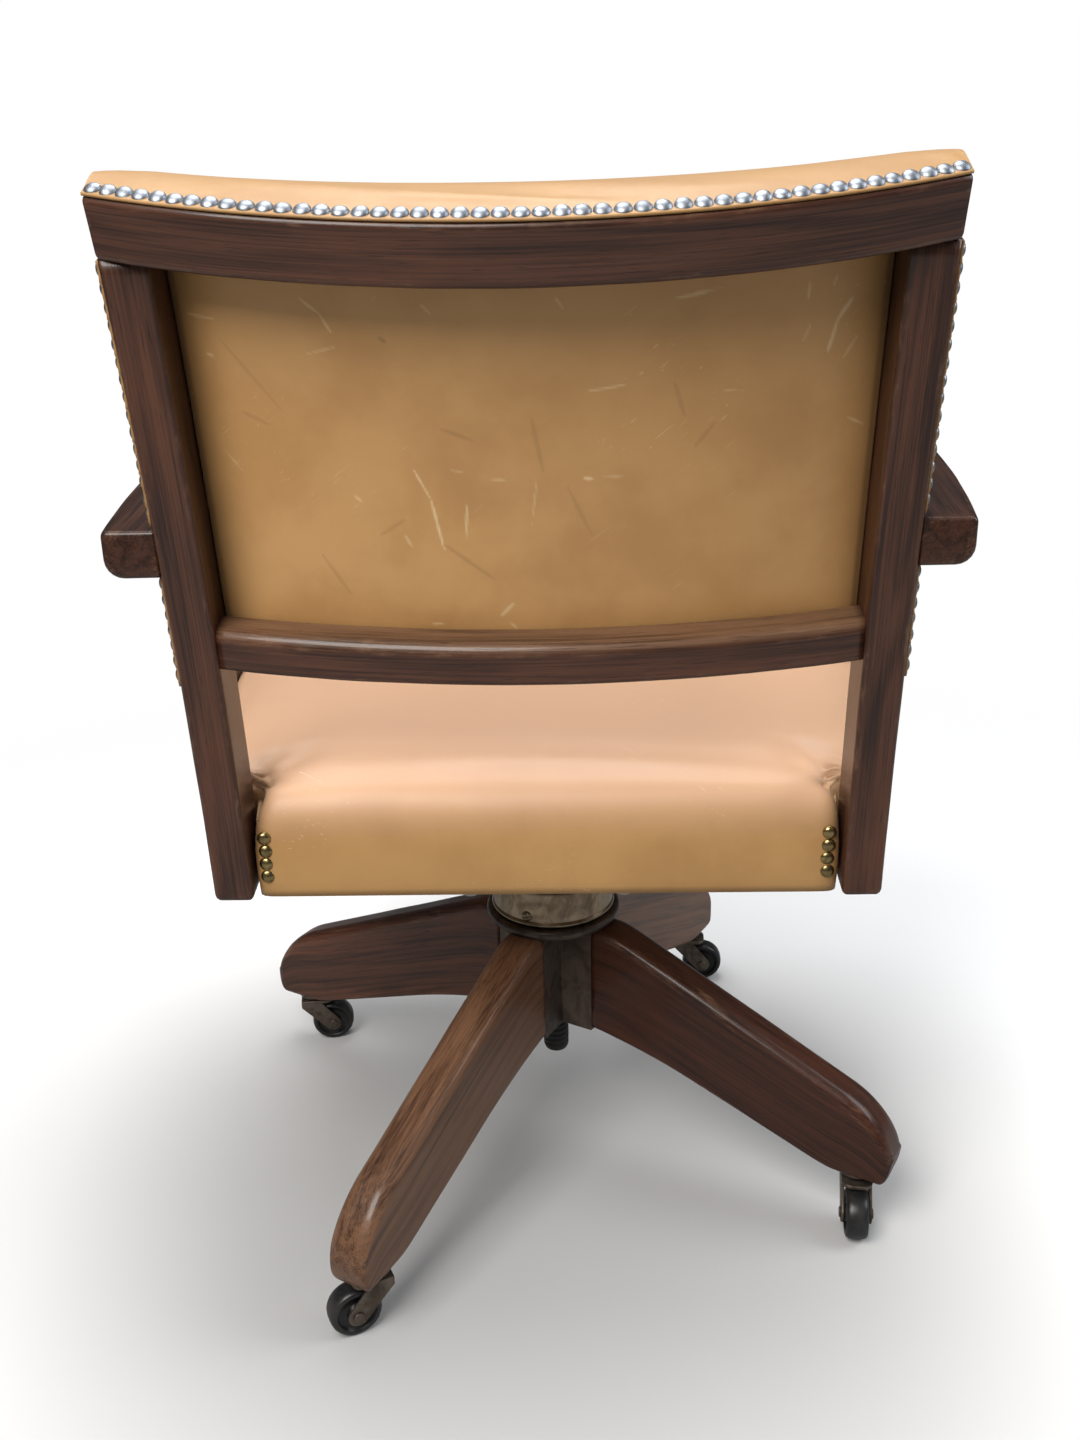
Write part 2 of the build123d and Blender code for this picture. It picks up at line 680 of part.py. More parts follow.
# Yoke: a sleeve on the axle, a lever down to the spring and a plate up to the irons
with BuildPart() as yoke:
    sleeve_half = ear_gap / 2 - yoke_side_gap
    with BuildSketch(flank(1, 0)):
        with Locations((pivot_y, pivot_z)):
            Circle(yoke_sleeve_d / 2)
        with Locations((pivot_y, pivot_z)):
            Rectangle(yoke_t, iron_foot_z - yoke_t - pivot_z, align=(Align.CENTER, Align.MIN))
    extrude(amount=sleeve_half, both=True)
    with BuildSketch(flank(1, 0)):
        with Locations((pivot_y, boss_foot_z)):
            Rectangle(yoke_t, pivot_z - boss_foot_z, align=(Align.CENTER, Align.MIN))
    extrude(amount=window_half - spring_room, both=True)
    with BuildSketch(level(iron_foot_z - yoke_t)):
        with Locations((0, pivot_y)):
            Rectangle(2 * (iron_x - iron_lug_t / 2 - flat_gap), yoke_plate_y)
    extrude(amount=yoke_t)
    with BuildSketch(flank(1, 0)):
        with Locations((pivot_y, pivot_z)):
            Circle(pivot_d / 2 + slide_gap)
    extrude(amount=ear_gap, both=True, mode=Mode.SUBTRACT)
save(yoke, "tilt_yoke")

# Seat irons, each hanging a lug on the axle
iron_rear_y = rear_rail_y + iron_end
iron_front_y = front_rail_y - iron_end
iron_screw_ys = [iron_rear_y - iron_screw_head_d / 2, iron_front_y + iron_screw_head_d / 2]
for name, side in (("left", 1), ("right", -1)):
    with BuildPart() as iron:
        with BuildSketch(level(iron_foot_z)):
            with Locations((side * iron_x, (iron_rear_y + iron_front_y) / 2)):
                RectangleRounded(iron_w, iron_rear_y - iron_front_y, iron_w / 4)
        extrude(amount=iron_t)
        with BuildSketch(flank(side, iron_x - iron_lug_t / 2)):
            with Locations((side * pivot_y, pivot_z)):
                Circle(ear_r)
            with Locations((side * pivot_y, pivot_z)):
                Rectangle(2 * ear_r, iron_foot_z - pivot_z, align=(Align.CENTER, Align.MIN))
            with Locations((side * pivot_y, pivot_z)):
                Circle(pivot_d / 2 + slide_gap, mode=Mode.SUBTRACT)
        extrude(amount=iron_lug_t)
        with BuildSketch(level(iron_foot_z)):
            with Locations([(side * iron_x, y) for y in iron_screw_ys]):
                Circle(iron_screw_d / 2 + slide_gap)
        extrude(amount=iron_t, mode=Mode.SUBTRACT)
    save(iron, f"seat_iron_{name}")

iron_screw_spots = [(side * iron_x, y) for side in (-1, 1) for y in iron_screw_ys]
with BuildPart() as iron_screws:
    with BuildSketch(level(iron_foot_z)):
        with Locations(iron_screw_spots):
            Circle(iron_screw_head_d / 2)
    extrude(amount=-iron_screw_head_t)
    with BuildSketch(level(iron_foot_z)):
        with Locations(iron_screw_spots):
            Circle(iron_screw_d / 2)
    extrude(amount=iron_screw_l)
save(iron_screws, "iron_screws")

# Compression spring between the lever and the tension screw, wound in half turns
coil_r = (spring_d - spring_wire) / 2
coil_pitch = (spring_length - spring_wire) / spring_turns
coil_start_y = spring_back_y - spring_wire / 2
coil_ends = []
for half_turn in range(2 * spring_turns + 1):
    coil_ends.append((coil_r * (-1) ** half_turn, coil_start_y - half_turn * coil_pitch / 2, spring_axis_z))
with BuildPart() as spring:
    with BuildLine():
        for half_turn in range(2 * spring_turns):
            TangentArc(coil_ends[half_turn], coil_ends[half_turn + 1], tangent=(0, 0, (-1) ** half_turn))
    with BuildSketch(Plane(origin=coil_ends[0], x_dir=(1, 0, 0), z_dir=(0, 0, 1))):
        Circle(spring_wire / 2)
    sweep()
save(spring, "tilt_spring")
print("spring gap between turns", round(coil_pitch - spring_wire, 2))

# Tension screw with its fluted knob and the seat for the spring
facing = Plane(origin=(0, spring_front_y - flat_gap, spring_axis_z), x_dir=(1, 0, 0), z_dir=(0, -1, 0))
knob_start = spring_front_y - flat_gap - lug_front_y + knob_neck
with BuildPart() as knob:
    with BuildSketch(facing):
        Circle(spring_d / 2)
    extrude(amount=spring_seat_t)
    with BuildSketch(facing):
        Circle(knob_screw_d / 2)
    extrude(amount=knob_start)
    with BuildSketch(facing.offset(knob_start)):
        Circle(knob_d / 2)
        with PolarLocations(knob_d / 2 + knob_flute_out, knob_flutes):
            Circle(knob_flute_r, mode=Mode.SUBTRACT)
    extrude(amount=knob_l)
save(knob, "tension_knob")

# Wooden seat frame, the board on it and the dust cover under it
with BuildPart() as front_rail:
    with BuildSketch(level(rail_foot_z)):
        half = frame_outline(frame_front_y, front_rail_y)
        with BuildLine():
            Polyline(*half, *[(-x, y) for x, y in reversed(half)], close=True)
        make_face()
    extrude(amount=rail_h)
    with BuildSketch(level(rail_foot_z)):
        with Locations(iron_screw_spots):
            Circle(iron_screw_d / 2)
    extrude(amount=iron_screw_l, mode=Mode.SUBTRACT)
save(front_rail, "seat_front_rail")

with BuildPart() as rear_rail:
    with BuildSketch(level(rail_foot_z)):
        half = frame_outline(rear_rail_y, frame_rear_y)
        with BuildLine():
            Polyline(*half, *[(-x, y) for x, y in reversed(half)], close=True)
        make_face()
    extrude(amount=rail_h)
    with BuildSketch(level(rail_foot_z)):
        with Locations(iron_screw_spots):
            Circle(iron_screw_d / 2)
    extrude(amount=iron_screw_l, mode=Mode.SUBTRACT)
    with Locations(bolt_axes(1) + bolt_axes(-1)):
        Cylinder(post_bolt_d / 2 + slide_gap, post_bolt_l, mode=Mode.SUBTRACT)
save(rear_rail, "seat_rear_rail")

for name, side in (("left", 1), ("right", -1)):
    with BuildPart() as side_rail:
        with BuildSketch(level(rail_foot_z)):
            outer_line = frame_outline(front_rail_y, rear_rail_y)
            inner_line = frame_outline(front_rail_y, rear_rail_y, rail_t)
            with BuildLine():
                Polyline(*[(side * x, y) for x, y in outer_line + inner_line[::-1]], close=True)
            make_face()
        extrude(amount=rail_h)
        with Locations(bolt_axes(side)):
            Cylinder(post_bolt_d / 2 + slide_gap, post_bolt_l, mode=Mode.SUBTRACT)
    save(side_rail, f"seat_side_rail_{name}")

half = frame_outline(frame_front_y, frame_rear_y)
frame_corners = half + [(-x, y) for x, y in reversed(half)]
with BuildPart() as board:
    with BuildSketch(level(board_foot_z)):
        with BuildLine():
            Polyline(*frame_corners, close=True)
        make_face()
        with GridLocations(board_vent_pitch, board_vent_pitch, 3, 3):
            Circle(board_vent_d / 2, mode=Mode.SUBTRACT)
    extrude(amount=board_t)
save(board, "seat_board")

with BuildPart() as dust_cover:
    with BuildSketch(level(seat_foot_z)):
        with BuildLine():
            Polyline(*frame_corners, close=True)
        make_face()
        with Locations(iron_screw_spots):
            Circle(iron_screw_d / 2, mode=Mode.SUBTRACT)
    extrude(amount=dust_t)
save(dust_cover, "dust_cover")

# Seat cushion: crowned top, rolled edge, sides drawn in, hollow below for the frame
side_middle_y = (seat_rear_y + seat_front_y) / 2
seat_corner_y = seat_front_y + seat_front_bow
with BuildPart() as seat_pad:
    with BuildSketch(level(seat_foot_z)) as seat_plan:
        with BuildLine():
            Line((-seat_rear_half, seat_rear_y), (seat_rear_half, seat_rear_y))
            ThreePointArc((seat_rear_half, seat_rear_y), (seat_half(side_middle_y), side_middle_y),
                          (seat_front_half, seat_corner_y))
            ThreePointArc((seat_front_half, seat_corner_y), (0, seat_front_y),
                          (-seat_front_half, seat_corner_y))
            ThreePointArc((-seat_front_half, seat_corner_y), (-seat_half(side_middle_y), side_middle_y),
                          (-seat_rear_half, seat_rear_y))
        make_face()
        fillet(seat_plan.vertices().group_by(Axis.Y)[0], seat_corner)
        fillet(seat_plan.vertices().group_by(Axis.Y)[-1], seat_rear_corner)
    extrude(amount=seat_crown_z - seat_foot_z + seat_roll)
    with Locations((0, seat_crown_y, seat_crown_z - seat_crown_r)):
        Sphere(seat_crown_r, mode=Mode.INTERSECT)
    fillet(seat_pad.faces().sort_by(Axis.Z)[-1].edges(), seat_roll)
    with BuildSketch(level(seat_foot_z)):
        with BuildLine():
            Polyline(*frame_corners, close=True)
        make_face()
    extrude(amount=pad_foot_z - seat_foot_z, mode=Mode.SUBTRACT)
    with BuildSketch(level(seat_foot_z)):
        for side in (-1, 1):
            with Locations((side * (post_inner - soft_gap + post_w), seat_rear_y)):
                Rectangle(2 * post_w, 2 * (seat_rear_y - seat_notch_y))
    extrude(amount=seat_crown_z - seat_foot_z, mode=Mode.SUBTRACT)
    with Locations(bolt_axes(1) + bolt_axes(-1)):
        Cylinder(post_bolt_d / 2 + slide_gap, post_bolt_l, mode=Mode.SUBTRACT)
save(seat_pad, "seat_cushion")

# Back posts: bent planks whose tops carry the crest rail
crest_square = radians(crest_lean)
post_top_run = post_depth / cos(crest_square - post_lean(crest_foot_z))
post_top_rear = (post_rear(crest_foot_z), crest_foot_z)
post_top_front = (post_top_rear[0] - post_top_run * cos(crest_square),
                  crest_foot_z + post_top_run * sin(crest_square))
post_middle_z = (post_foot_z + crest_foot_z) / 2
for name, side in (("left", 1), ("right", -1)):
    with BuildPart() as post:
        with BuildSketch(flank(side, post_inner)) as profile:
            rear_edge = [post_point(post_foot_z, 0), post_point(post_middle_z, 0), post_top_rear]
            front_edge = [post_point(z, post_depth) for z in (post_foot_z, post_middle_z)] + [post_top_front]
            rear_edge = [(side * y, z) for y, z in rear_edge]
            front_edge = [(side * y, z) for y, z in front_edge]
            with BuildLine():
                ThreePointArc(*rear_edge)
                Line(rear_edge[2], front_edge[2])
                ThreePointArc(*front_edge)
                Line(front_edge[0], rear_edge[0])
            make_face()
            fillet(profile.vertices().group_by(Axis.Z)[0], post_foot_round)
        extrude(amount=post_w)
        long_edges = post.edges().filter_by(lambda e: e.length > post_middle_z - post_foot_z)
        fillet(long_edges, post_round)
        with Locations(bolt_axes(side)):
            Cylinder(post_bolt_d / 2 + slide_gap, post_bolt_l, mode=Mode.SUBTRACT)
    save(post, f"back_post_{name}")

# Crest rail and lower rail, both bowed backwards
crest_plane = across_back(crest_foot_z, crest_lean)
with BuildPart() as crest:
    with BuildSketch(crest_plane):
        add(bowed_band(post_outer, 0, crest_t, crest_bow))
    extrude(amount=crest_h)
    crest_arcs = crest.edges().filter_by(GeomType.CIRCLE).sort_by(Axis(crest_plane.origin, crest_plane.y_dir))
    fillet(crest_arcs[-2:], crest_ease)
save(crest, "crest_rail")

with BuildPart() as lower_rail:
    with BuildSketch(across_back(lower_rail_z)):
        add(bowed_band(post_inner, -lower_rail_inset, lower_rail_depth, lower_rail_bow))
    extrude(amount=lower_rail_h)
    rear_arcs = lower_rail.edges().filter_by(GeomType.CIRCLE).sort_by(Axis.Y)[-2:]
    fillet(rear_arcs.sort_by(Axis.Z)[-1], lower_rail_round)
save(lower_rail, "lower_rail")

# Leather panel outside the back and the board in front of it
panel_layers = [("outside_back", panel_recess, panel_t), ("back_board", panel_recess + panel_t, back_board_t)]
for name, recess, thickness in panel_layers:
    with BuildPart() as sheet:
        for z in (lower_rail_z + panel_tuck, (lower_rail_z + panel_top_z) / 2, panel_top_z):
            with BuildSketch(across_back(z)):
                add(bowed_band(post_inner - soft_gap, -recess, thickness, back_bow(z)))
        loft()
    save(sheet, name)

# Back cushion, thick in the middle and thin towards its edges
with BuildPart() as back_pad:
    half = post_outer - soft_gap
    inner_half = post_inner - soft_gap
    front_half = inner_half - back_side_draw
    rear = -post_depth - soft_gap
    for z, swell in zip(back_section_z, back_section_swell):
        edge = rear - back_edge_t * swell
        middle = rear + back_bow(z) - back_middle_t * swell
        with BuildSketch(across_back(z)):
            with BuildLine():
                Line((half, rear), (inner_half, rear))
                ThreePointArc((inner_half, rear), (0, rear + back_bow(z)), (-inner_half, rear))
                Line((-inner_half, rear), (-half, rear))
                Line((-half, rear), (back_side_draw - half, edge))
                Line((back_side_draw - half, edge), (-front_half, edge))
                ThreePointArc((-front_half, edge), (0, middle), (front_half, edge))
                Line((front_half, edge), (half - back_side_draw, edge))
                Line((half - back_side_draw, edge), (half, rear))
            make_face()
    loft()
save(back_pad, "back_cushion")

# Leather turned over the crest and round the outer sides of the posts
with BuildPart() as crest_hide:
    with BuildSketch(crest_plane.offset(crest_h)):
        hide_depth = post_depth - crest_hide_inset
        add(bowed_band(post_outer, -crest_hide_inset, hide_depth, crest_bow, panel_top_bow))
    extrude(amount=hide_t)
save(crest_hide, "crest_leather")

side_runs = [(side_hide_z, arm_foot_z - hide_clear), (arm_top_z + hide_clear, crest_foot_z - hide_clear)]
with BuildPart() as side_hides:
    for side in (-1, 1):
        for low, high in side_runs:
            outer_edge = [post_point(z, side_hide_inset) for z in (low, (low + high) / 2, high)]
            inner_edge = [post_point(z, post_depth) for z in (low, (low + high) / 2, high)]
            with BuildSketch(flank(side, post_outer)):
                with BuildLine():
                    ThreePointArc(*[(side * y, z) for y, z in outer_edge])
                    Line(*[(side * y, z) for y, z in (outer_edge[2], inner_edge[2])])
                    ThreePointArc(*[(side * y, z) for y, z in inner_edge])
                    Line(*[(side * y, z) for y, z in (inner_edge[0], outer_edge[0])])
                make_face()
            extrude(amount=hide_t)
save(side_hides, "side_leather")

# Nails: a row on the crest, a column on each post, and four at each rear corner of the seat
crest_r = (post_outer ** 2 + crest_bow ** 2) / (2 * crest_bow) - crest_hide_inset - nail_inset
crest_sweep = asin((post_outer - nail_inset) / crest_r)
crest_nail_count = int(2 * crest_r * crest_sweep / nail_pitch) + 1
crest_centre = crest_bow - crest_hide_inset - nail_inset - crest_r
crest_spots = []
for i in range(crest_nail_count):
    turn = crest_sweep * (2 * i / (crest_nail_count - 1) - 1)
    crest_spots.append((crest_r * sin(turn), crest_centre + crest_r * cos(turn)))
with BuildPart() as crest_nails:
    with BuildSketch(crest_plane.offset(crest_h + hide_t)):
        with Locations(crest_spots):
            RegularPolygon(nail_d / 2, nail_sides)
    extrude(amount=nail_h, taper=nail_taper)
save(crest_nails, "crest_nails")

side_spots = []
for low, high in side_runs:
    count = int((high - low - 2 * nail_inset) / nail_pitch) + 1
    for i in range(count):
        z = low + nail_inset + (high - low - 2 * nail_inset) * i / (count - 1)
        side_spots.append(post_point(z, side_hide_inset + nail_inset))
with BuildPart() as side_nails:
    for side in (-1, 1):
        with BuildSketch(flank(side, post_outer + hide_t)):
            with Locations([(side * y, z) for y, z in side_spots]):
                RegularPolygon(nail_d / 2, nail_sides)
        extrude(amount=nail_h, taper=nail_taper)
save(side_nails, "side_nails")

seat_spots = []
for side in (-1, 1):
    for i in range(seat_nails_a_side):
        seat_spots.append((side * seat_nail_x, seat_nail_z + i * seat_nail_pitch))
with BuildPart() as seat_nails:
    with BuildSketch(Plane(origin=(0, seat_rear_y, 0), x_dir=(-1, 0, 0), z_dir=(0, 1, 0))):
        with Locations(seat_spots):
            RegularPolygon(nail_d / 2, nail_sides)
    extrude(amount=nail_h, taper=nail_taper)
save(seat_nails, "seat_nails")

# Arms with a rounded front end, and the supports that carry them
paw_inner_half = arm_front_half - 2 * arm_paw
arm_joint_y = post_point(arm_foot_z, post_depth)[0]
for name, side in (("left", 1), ("right", -1)):
    with BuildPart() as arm:
        with BuildSketch(level(arm_foot_z)):
            with BuildLine():
                Line((side * post_outer, arm_rear_y), (side * arm_rear_half, arm_rear_y))
                edge = ThreePointArc((side * arm_rear_half, arm_rear_y),
                                     (side * arm_middle_half, arm_middle_y),
                                     (side * arm_front_half, arm_front_y))
                TangentArc(edge @ 1, (side * paw_inner_half, arm_front_y), tangent=edge % 1)
                Line((side * paw_inner_half, arm_front_y), (side * post_outer, arm_joint_y))
                Line((side * post_outer, arm_joint_y), (side * post_outer, arm_rear_y))
            make_face()
        extrude(amount=arm_t)
        under = arm.edges().group_by(Axis.Z)[0].filter_by(lambda e: abs(e.center().X) > post_outer + 1)
        fillet(under.filter_by(lambda e: e.center().Y < arm_rear_y - 1), arm_under_round)
        over = arm.edges().group_by(Axis.Z)[-1].filter_by(lambda e: abs(e.center().X) > post_outer + 1)
        fillet(over, arm_ease)
    save(arm, f"arm_{name}")

    with BuildPart() as prop:
        with BuildSketch(level(prop_foot_z, 0, side * (prop_inner + prop_w / 2), prop_y)):
            RectangleRounded(prop_w, prop_depth, prop_round)
        extrude(amount=arm_foot_z - prop_foot_z)
        with Locations(bolt_axes(side)):
            Cylinder(post_bolt_d / 2 + slide_gap, post_bolt_l, mode=Mode.SUBTRACT)
    save(prop, f"arm_support_{name}")

with BuildPart() as bolts:
    for side in (-1, 1):
        for x, y, z in bolt_places(side):
            with BuildSketch(flank(side, abs(x))):
                with Locations((side * y, z)):
                    Circle(post_bolt_head_d / 2)
            extrude(amount=post_bolt_head_t)
            with BuildSketch(flank(side, abs(x))):
                with Locations((side * y, z)):
                    Circle(post_bolt_d / 2)
            extrude(amount=-post_bolt_l)
save(bolts, "frame_bolts")
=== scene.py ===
import json
import math
import random

import bmesh
import bpy
from mathutils import Matrix, Vector, noise

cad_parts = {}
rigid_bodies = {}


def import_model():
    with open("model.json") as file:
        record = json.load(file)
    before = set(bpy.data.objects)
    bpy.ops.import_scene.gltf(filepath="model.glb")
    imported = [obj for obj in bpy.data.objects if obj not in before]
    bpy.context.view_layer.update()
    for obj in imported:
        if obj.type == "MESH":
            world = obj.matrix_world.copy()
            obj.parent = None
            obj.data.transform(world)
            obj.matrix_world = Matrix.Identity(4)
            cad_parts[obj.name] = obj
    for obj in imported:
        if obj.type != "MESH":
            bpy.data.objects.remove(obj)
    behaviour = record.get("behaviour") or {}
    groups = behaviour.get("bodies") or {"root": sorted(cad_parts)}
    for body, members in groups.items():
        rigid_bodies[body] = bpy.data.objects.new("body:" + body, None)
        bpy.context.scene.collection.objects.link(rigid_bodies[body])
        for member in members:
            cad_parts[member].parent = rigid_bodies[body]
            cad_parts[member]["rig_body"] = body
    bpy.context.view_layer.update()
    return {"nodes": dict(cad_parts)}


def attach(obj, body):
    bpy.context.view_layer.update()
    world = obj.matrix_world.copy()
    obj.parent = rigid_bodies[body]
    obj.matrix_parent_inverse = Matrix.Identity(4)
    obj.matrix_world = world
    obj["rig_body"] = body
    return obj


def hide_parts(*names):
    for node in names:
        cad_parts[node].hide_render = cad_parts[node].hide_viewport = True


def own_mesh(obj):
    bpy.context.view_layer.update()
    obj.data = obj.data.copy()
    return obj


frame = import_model()
print("frame loaded", len(frame["nodes"]), "nodes")

studio = {"cameraPlace": (-0.0301, 1.1576, 0.8761), "heading": -88.11, "pitch": 21.25, "roll": -1.45,
          "lens": 35.0, "sensor": 36.0, "photoWidth": 1080, "photoHeight": 1440}
mm = 0.001


def cameraAxes():
    # right, up and forward of the camera
    heading, pitch, roll = (math.radians(studio[key]) for key in ("heading", "pitch", "roll"))
    flat = math.cos(pitch)
    forward = Vector((math.cos(heading) * flat, math.sin(heading) * flat, -math.sin(pitch)))
    level = forward.cross(Vector((0, 0, 1))).normalized()
    upright = level.cross(forward)
    right = level * math.cos(roll) + upright * math.sin(roll)
    return right, upright * math.cos(roll) - level * math.sin(roll), forward


def sightLine(pixel):
    # where the camera looks through a pixel of the photograph's frame
    right, up, forward = cameraAxes()
    focal = studio["lens"] / studio["sensor"] * studio["photoHeight"]
    across = (pixel[0] - studio["photoWidth"] / 2) / focal
    down = (pixel[1] - studio["photoHeight"] / 2) / focal
    return forward + right * across - up * down


# Node helpers

def feed(tree, socket, value):
    if isinstance(value, bpy.types.NodeSocket):
        tree.links.new(value, socket)
    else:
        socket.default_value = value


def addNode(tree, kind, inputs=None, **settings):
    made = tree.nodes.new(kind)
    for key, value in settings.items():
        setattr(made, key, value)
    for key, value in (inputs or {}).items():
        feed(tree, made.inputs[key], value)
    return made


def mathNode(tree, operation, first, second=0.0):
    return addNode(tree, "ShaderNodeMath", {0: first, 1: second}, operation=operation).outputs[0]


def times(tree, first, second):
    return mathNode(tree, "MULTIPLY", first, second)


def plus(tree, first, second):
    return mathNode(tree, "ADD", first, second)


def shaded(colour, share):
    return tuple(share * c for c in colour[:3]) + (1,)


def mixColour(tree, factor, first, second):
    return addNode(tree, "ShaderNodeMix", {0: factor, 6: first, 7: second}, data_type="RGBA").outputs[2]


def ramp(tree, factor, low, high):
    inputs = {0: factor, 1: low, 2: high, 3: 0.0, 4: 1.0}
    return addNode(tree, "ShaderNodeMapRange", inputs, interpolation_type="SMOOTHSTEP").outputs[0]


def noiseAt(tree, vector, stretch, detail=4.0, roughness=0.55, distortion=0.0):
    scaled = addNode(tree, "ShaderNodeVectorMath", {0: vector, 1: stretch}, operation="MULTIPLY").outputs[0]
    return addNode(tree, "ShaderNodeTexNoise", {"Vector": scaled, "Scale": 1.0, "Detail": detail,
                   "Roughness": roughness, "Distortion": distortion}).outputs["Fac"]


def turnedPlace(tree, place, rotation):
    return addNode(tree, "ShaderNodeMapping", {"Vector": place, "Rotation": rotation}).outputs[0]


def objectPlace(tree):
    return addNode(tree, "ShaderNodeTexCoord").outputs["Object"]


def attributeOf(tree, name, kind="Fac"):
    return addNode(tree, "ShaderNodeAttribute", attribute_name=name).outputs[kind]


def newGroup(name, inputs, outputs):
    # inputs are (label, kind, value), and every output is a float
    group = bpy.data.node_groups.new(name, "ShaderNodeTree")
    for label, kind, value in inputs:
        socket = group.interface.new_socket(label, in_out="INPUT", socket_type=kind)
        if value is not None:
            socket.default_value = value
    for label in outputs:
        group.interface.new_socket(label, in_out="OUTPUT", socket_type="NodeSocketFloat")
    return group, group.nodes.new("NodeGroupInput"), group.nodes.new("NodeGroupOutput")


def closeGroup(group, result, **sockets):
    for label, socket in sockets.items():
        group.links.new(socket, result.inputs[label])
    return group


def placeGroup(tree, group, inputs):
    return addNode(tree, "ShaderNodeGroup", inputs, node_tree=group)


def newMaterial(name, **shader):
    made = bpy.data.materials.new(name)
    made.use_nodes = True
    tree = made.node_tree
    bsdf = tree.nodes["Principled BSDF"]
    for key, value in shader.items():
        bsdf.inputs[key.replace("_", " ")].default_value = value
    return made, tree, bsdf


def bumpInto(tree, bsdf, height, strength, distance):
    bump = addNode(tree, "ShaderNodeBump", {"Height": height, "Strength": strength, "Distance": distance})
    tree.links.new(bump.outputs[0], bsdf.inputs["Normal"])


# Shared surface effects

vectorInput = ("Vector", "NodeSocketVector", None)


def makeOakFigure():
    # x and y run across the grain, z along it, in metres
    group, source, result = newGroup("oakFigure", [vectorInput], ["Streak", "Pores", "Blotch", "Height"])
    grain = source.outputs["Vector"]
    broad = noiseAt(group, grain, (130, 130, 2.6), 5.0, 0.6, 0.15)
    fine = noiseAt(group, grain, (640, 640, 8), 4.0, 0.62, 0.1)
    rings = noiseAt(group, grain, (34, 34, 2.4), 2.0, 0.4, 0.3)
    banded = mathNode(group, "SINE", times(group, rings, 34.0))
    banded = plus(group, times(group, banded, 0.5), 0.5)
    streak = plus(group, times(group, broad, 0.36), times(group, fine, 0.54))
    streak = plus(group, streak, times(group, banded, 0.1))
    pores = ramp(group, noiseAt(group, grain, (1150, 1150, 46), 2.0, 0.5), 0.6, 0.72)
    blotch = noiseAt(group, grain, (17, 17, 7), 3.0, 0.55)
    height = mathNode(group, "SUBTRACT", times(group, fine, 0.5), times(group, pores, 0.8))
    return closeGroup(group, result, Streak=streak, Pores=pores, Blotch=blotch, Height=height)


def makeEdgeRub():
    # rubbed arrises: the mesh carries how near each point is to an edge
    inputs = [("Edge", "NodeSocketFloat", 0.0), vectorInput, ("Amount", "NodeSocketFloat", 0.5)]
    group, source, result = newGroup("edgeRub", inputs, ["Mask"])
    place = source.outputs["Vector"]
    patchy = noiseAt(group, place, (60, 60, 26), 5.0, 0.65)
    speckle = noiseAt(group, place, (420, 420, 60), 3.0, 0.6)
    reach = times(group, source.outputs["Edge"], source.outputs["Amount"])
    level = plus(group, reach, times(group, patchy, 0.55))
    level = plus(group, level, times(group, speckle, 0.3))
    return closeGroup(group, result, Mask=ramp(group, level, 0.78, 1.08))


def makeHideGrain():
    group, source, result = newGroup("hideGrain", [vectorInput], ["Mottle", "Cloud", "Scratch", "Height"])
    place = source.outputs["Vector"]
    mottle = noiseAt(group, place, (13, 13, 13), 5.0, 0.58, 0.15)
    cloud = noiseAt(group, place, (4.2, 4.2, 4.2), 3.0, 0.5, 0.1)
    turned = turnedPlace(group, place, (0.2, 0.9, 0.1))
    counter = turnedPlace(group, place, (0.1, -0.7, 0.3))
    hair = ramp(group, noiseAt(group, turned, (480, 480, 19), 2.0, 0.5, 0.4), 0.685, 0.74)
    hair2 = ramp(group, noiseAt(group, counter, (23, 520, 520), 2.0, 0.5, 0.5), 0.69, 0.75)
    patch = ramp(group, noiseAt(group, place, (9, 9, 9), 2.0, 0.5), 0.5, 0.66)
    scratch = times(group, mathNode(group, "MAXIMUM", hair, hair2), patch)
    pebble = addNode(group, "ShaderNodeTexVoronoi", {"Vector": place, "Scale": 620.0, "Randomness": 1.0},
                     feature="DISTANCE_TO_EDGE").outputs["Distance"]
    creases = noiseAt(group, place, (150, 150, 150), 4.0, 0.6, 0.3)
    height = plus(group, times(group, pebble, 0.6), times(group, creases, 0.5))
    return closeGroup(group, result, Mottle=mottle, Cloud=cloud, Scratch=scratch, Height=height)


def makeTarnish():
    group, source, result = newGroup("tarnish", [vectorInput], ["Stain", "Speck", "Roughness", "Height"])
    place = source.outputs["Vector"]
    stain = noiseAt(group, place, (55, 55, 40), 6.0, 0.65, 0.6)
    speck = ramp(group, noiseAt(group, place, (900, 900, 900), 3.0, 0.6), 0.58, 0.74)
    rough = plus(group, times(group, stain, 0.3), 0.14)
    height = plus(group, times(group, stain, 0.6), times(group, speck, 0.4))
    return closeGroup(group, result, Stain=stain, Speck=speck, Roughness=rough, Height=height)


oakFigure = makeOakFigure()
edgeRub = makeEdgeRub()
hideGrain = makeHideGrain()
tarnish = makeTarnish()


# Finishes

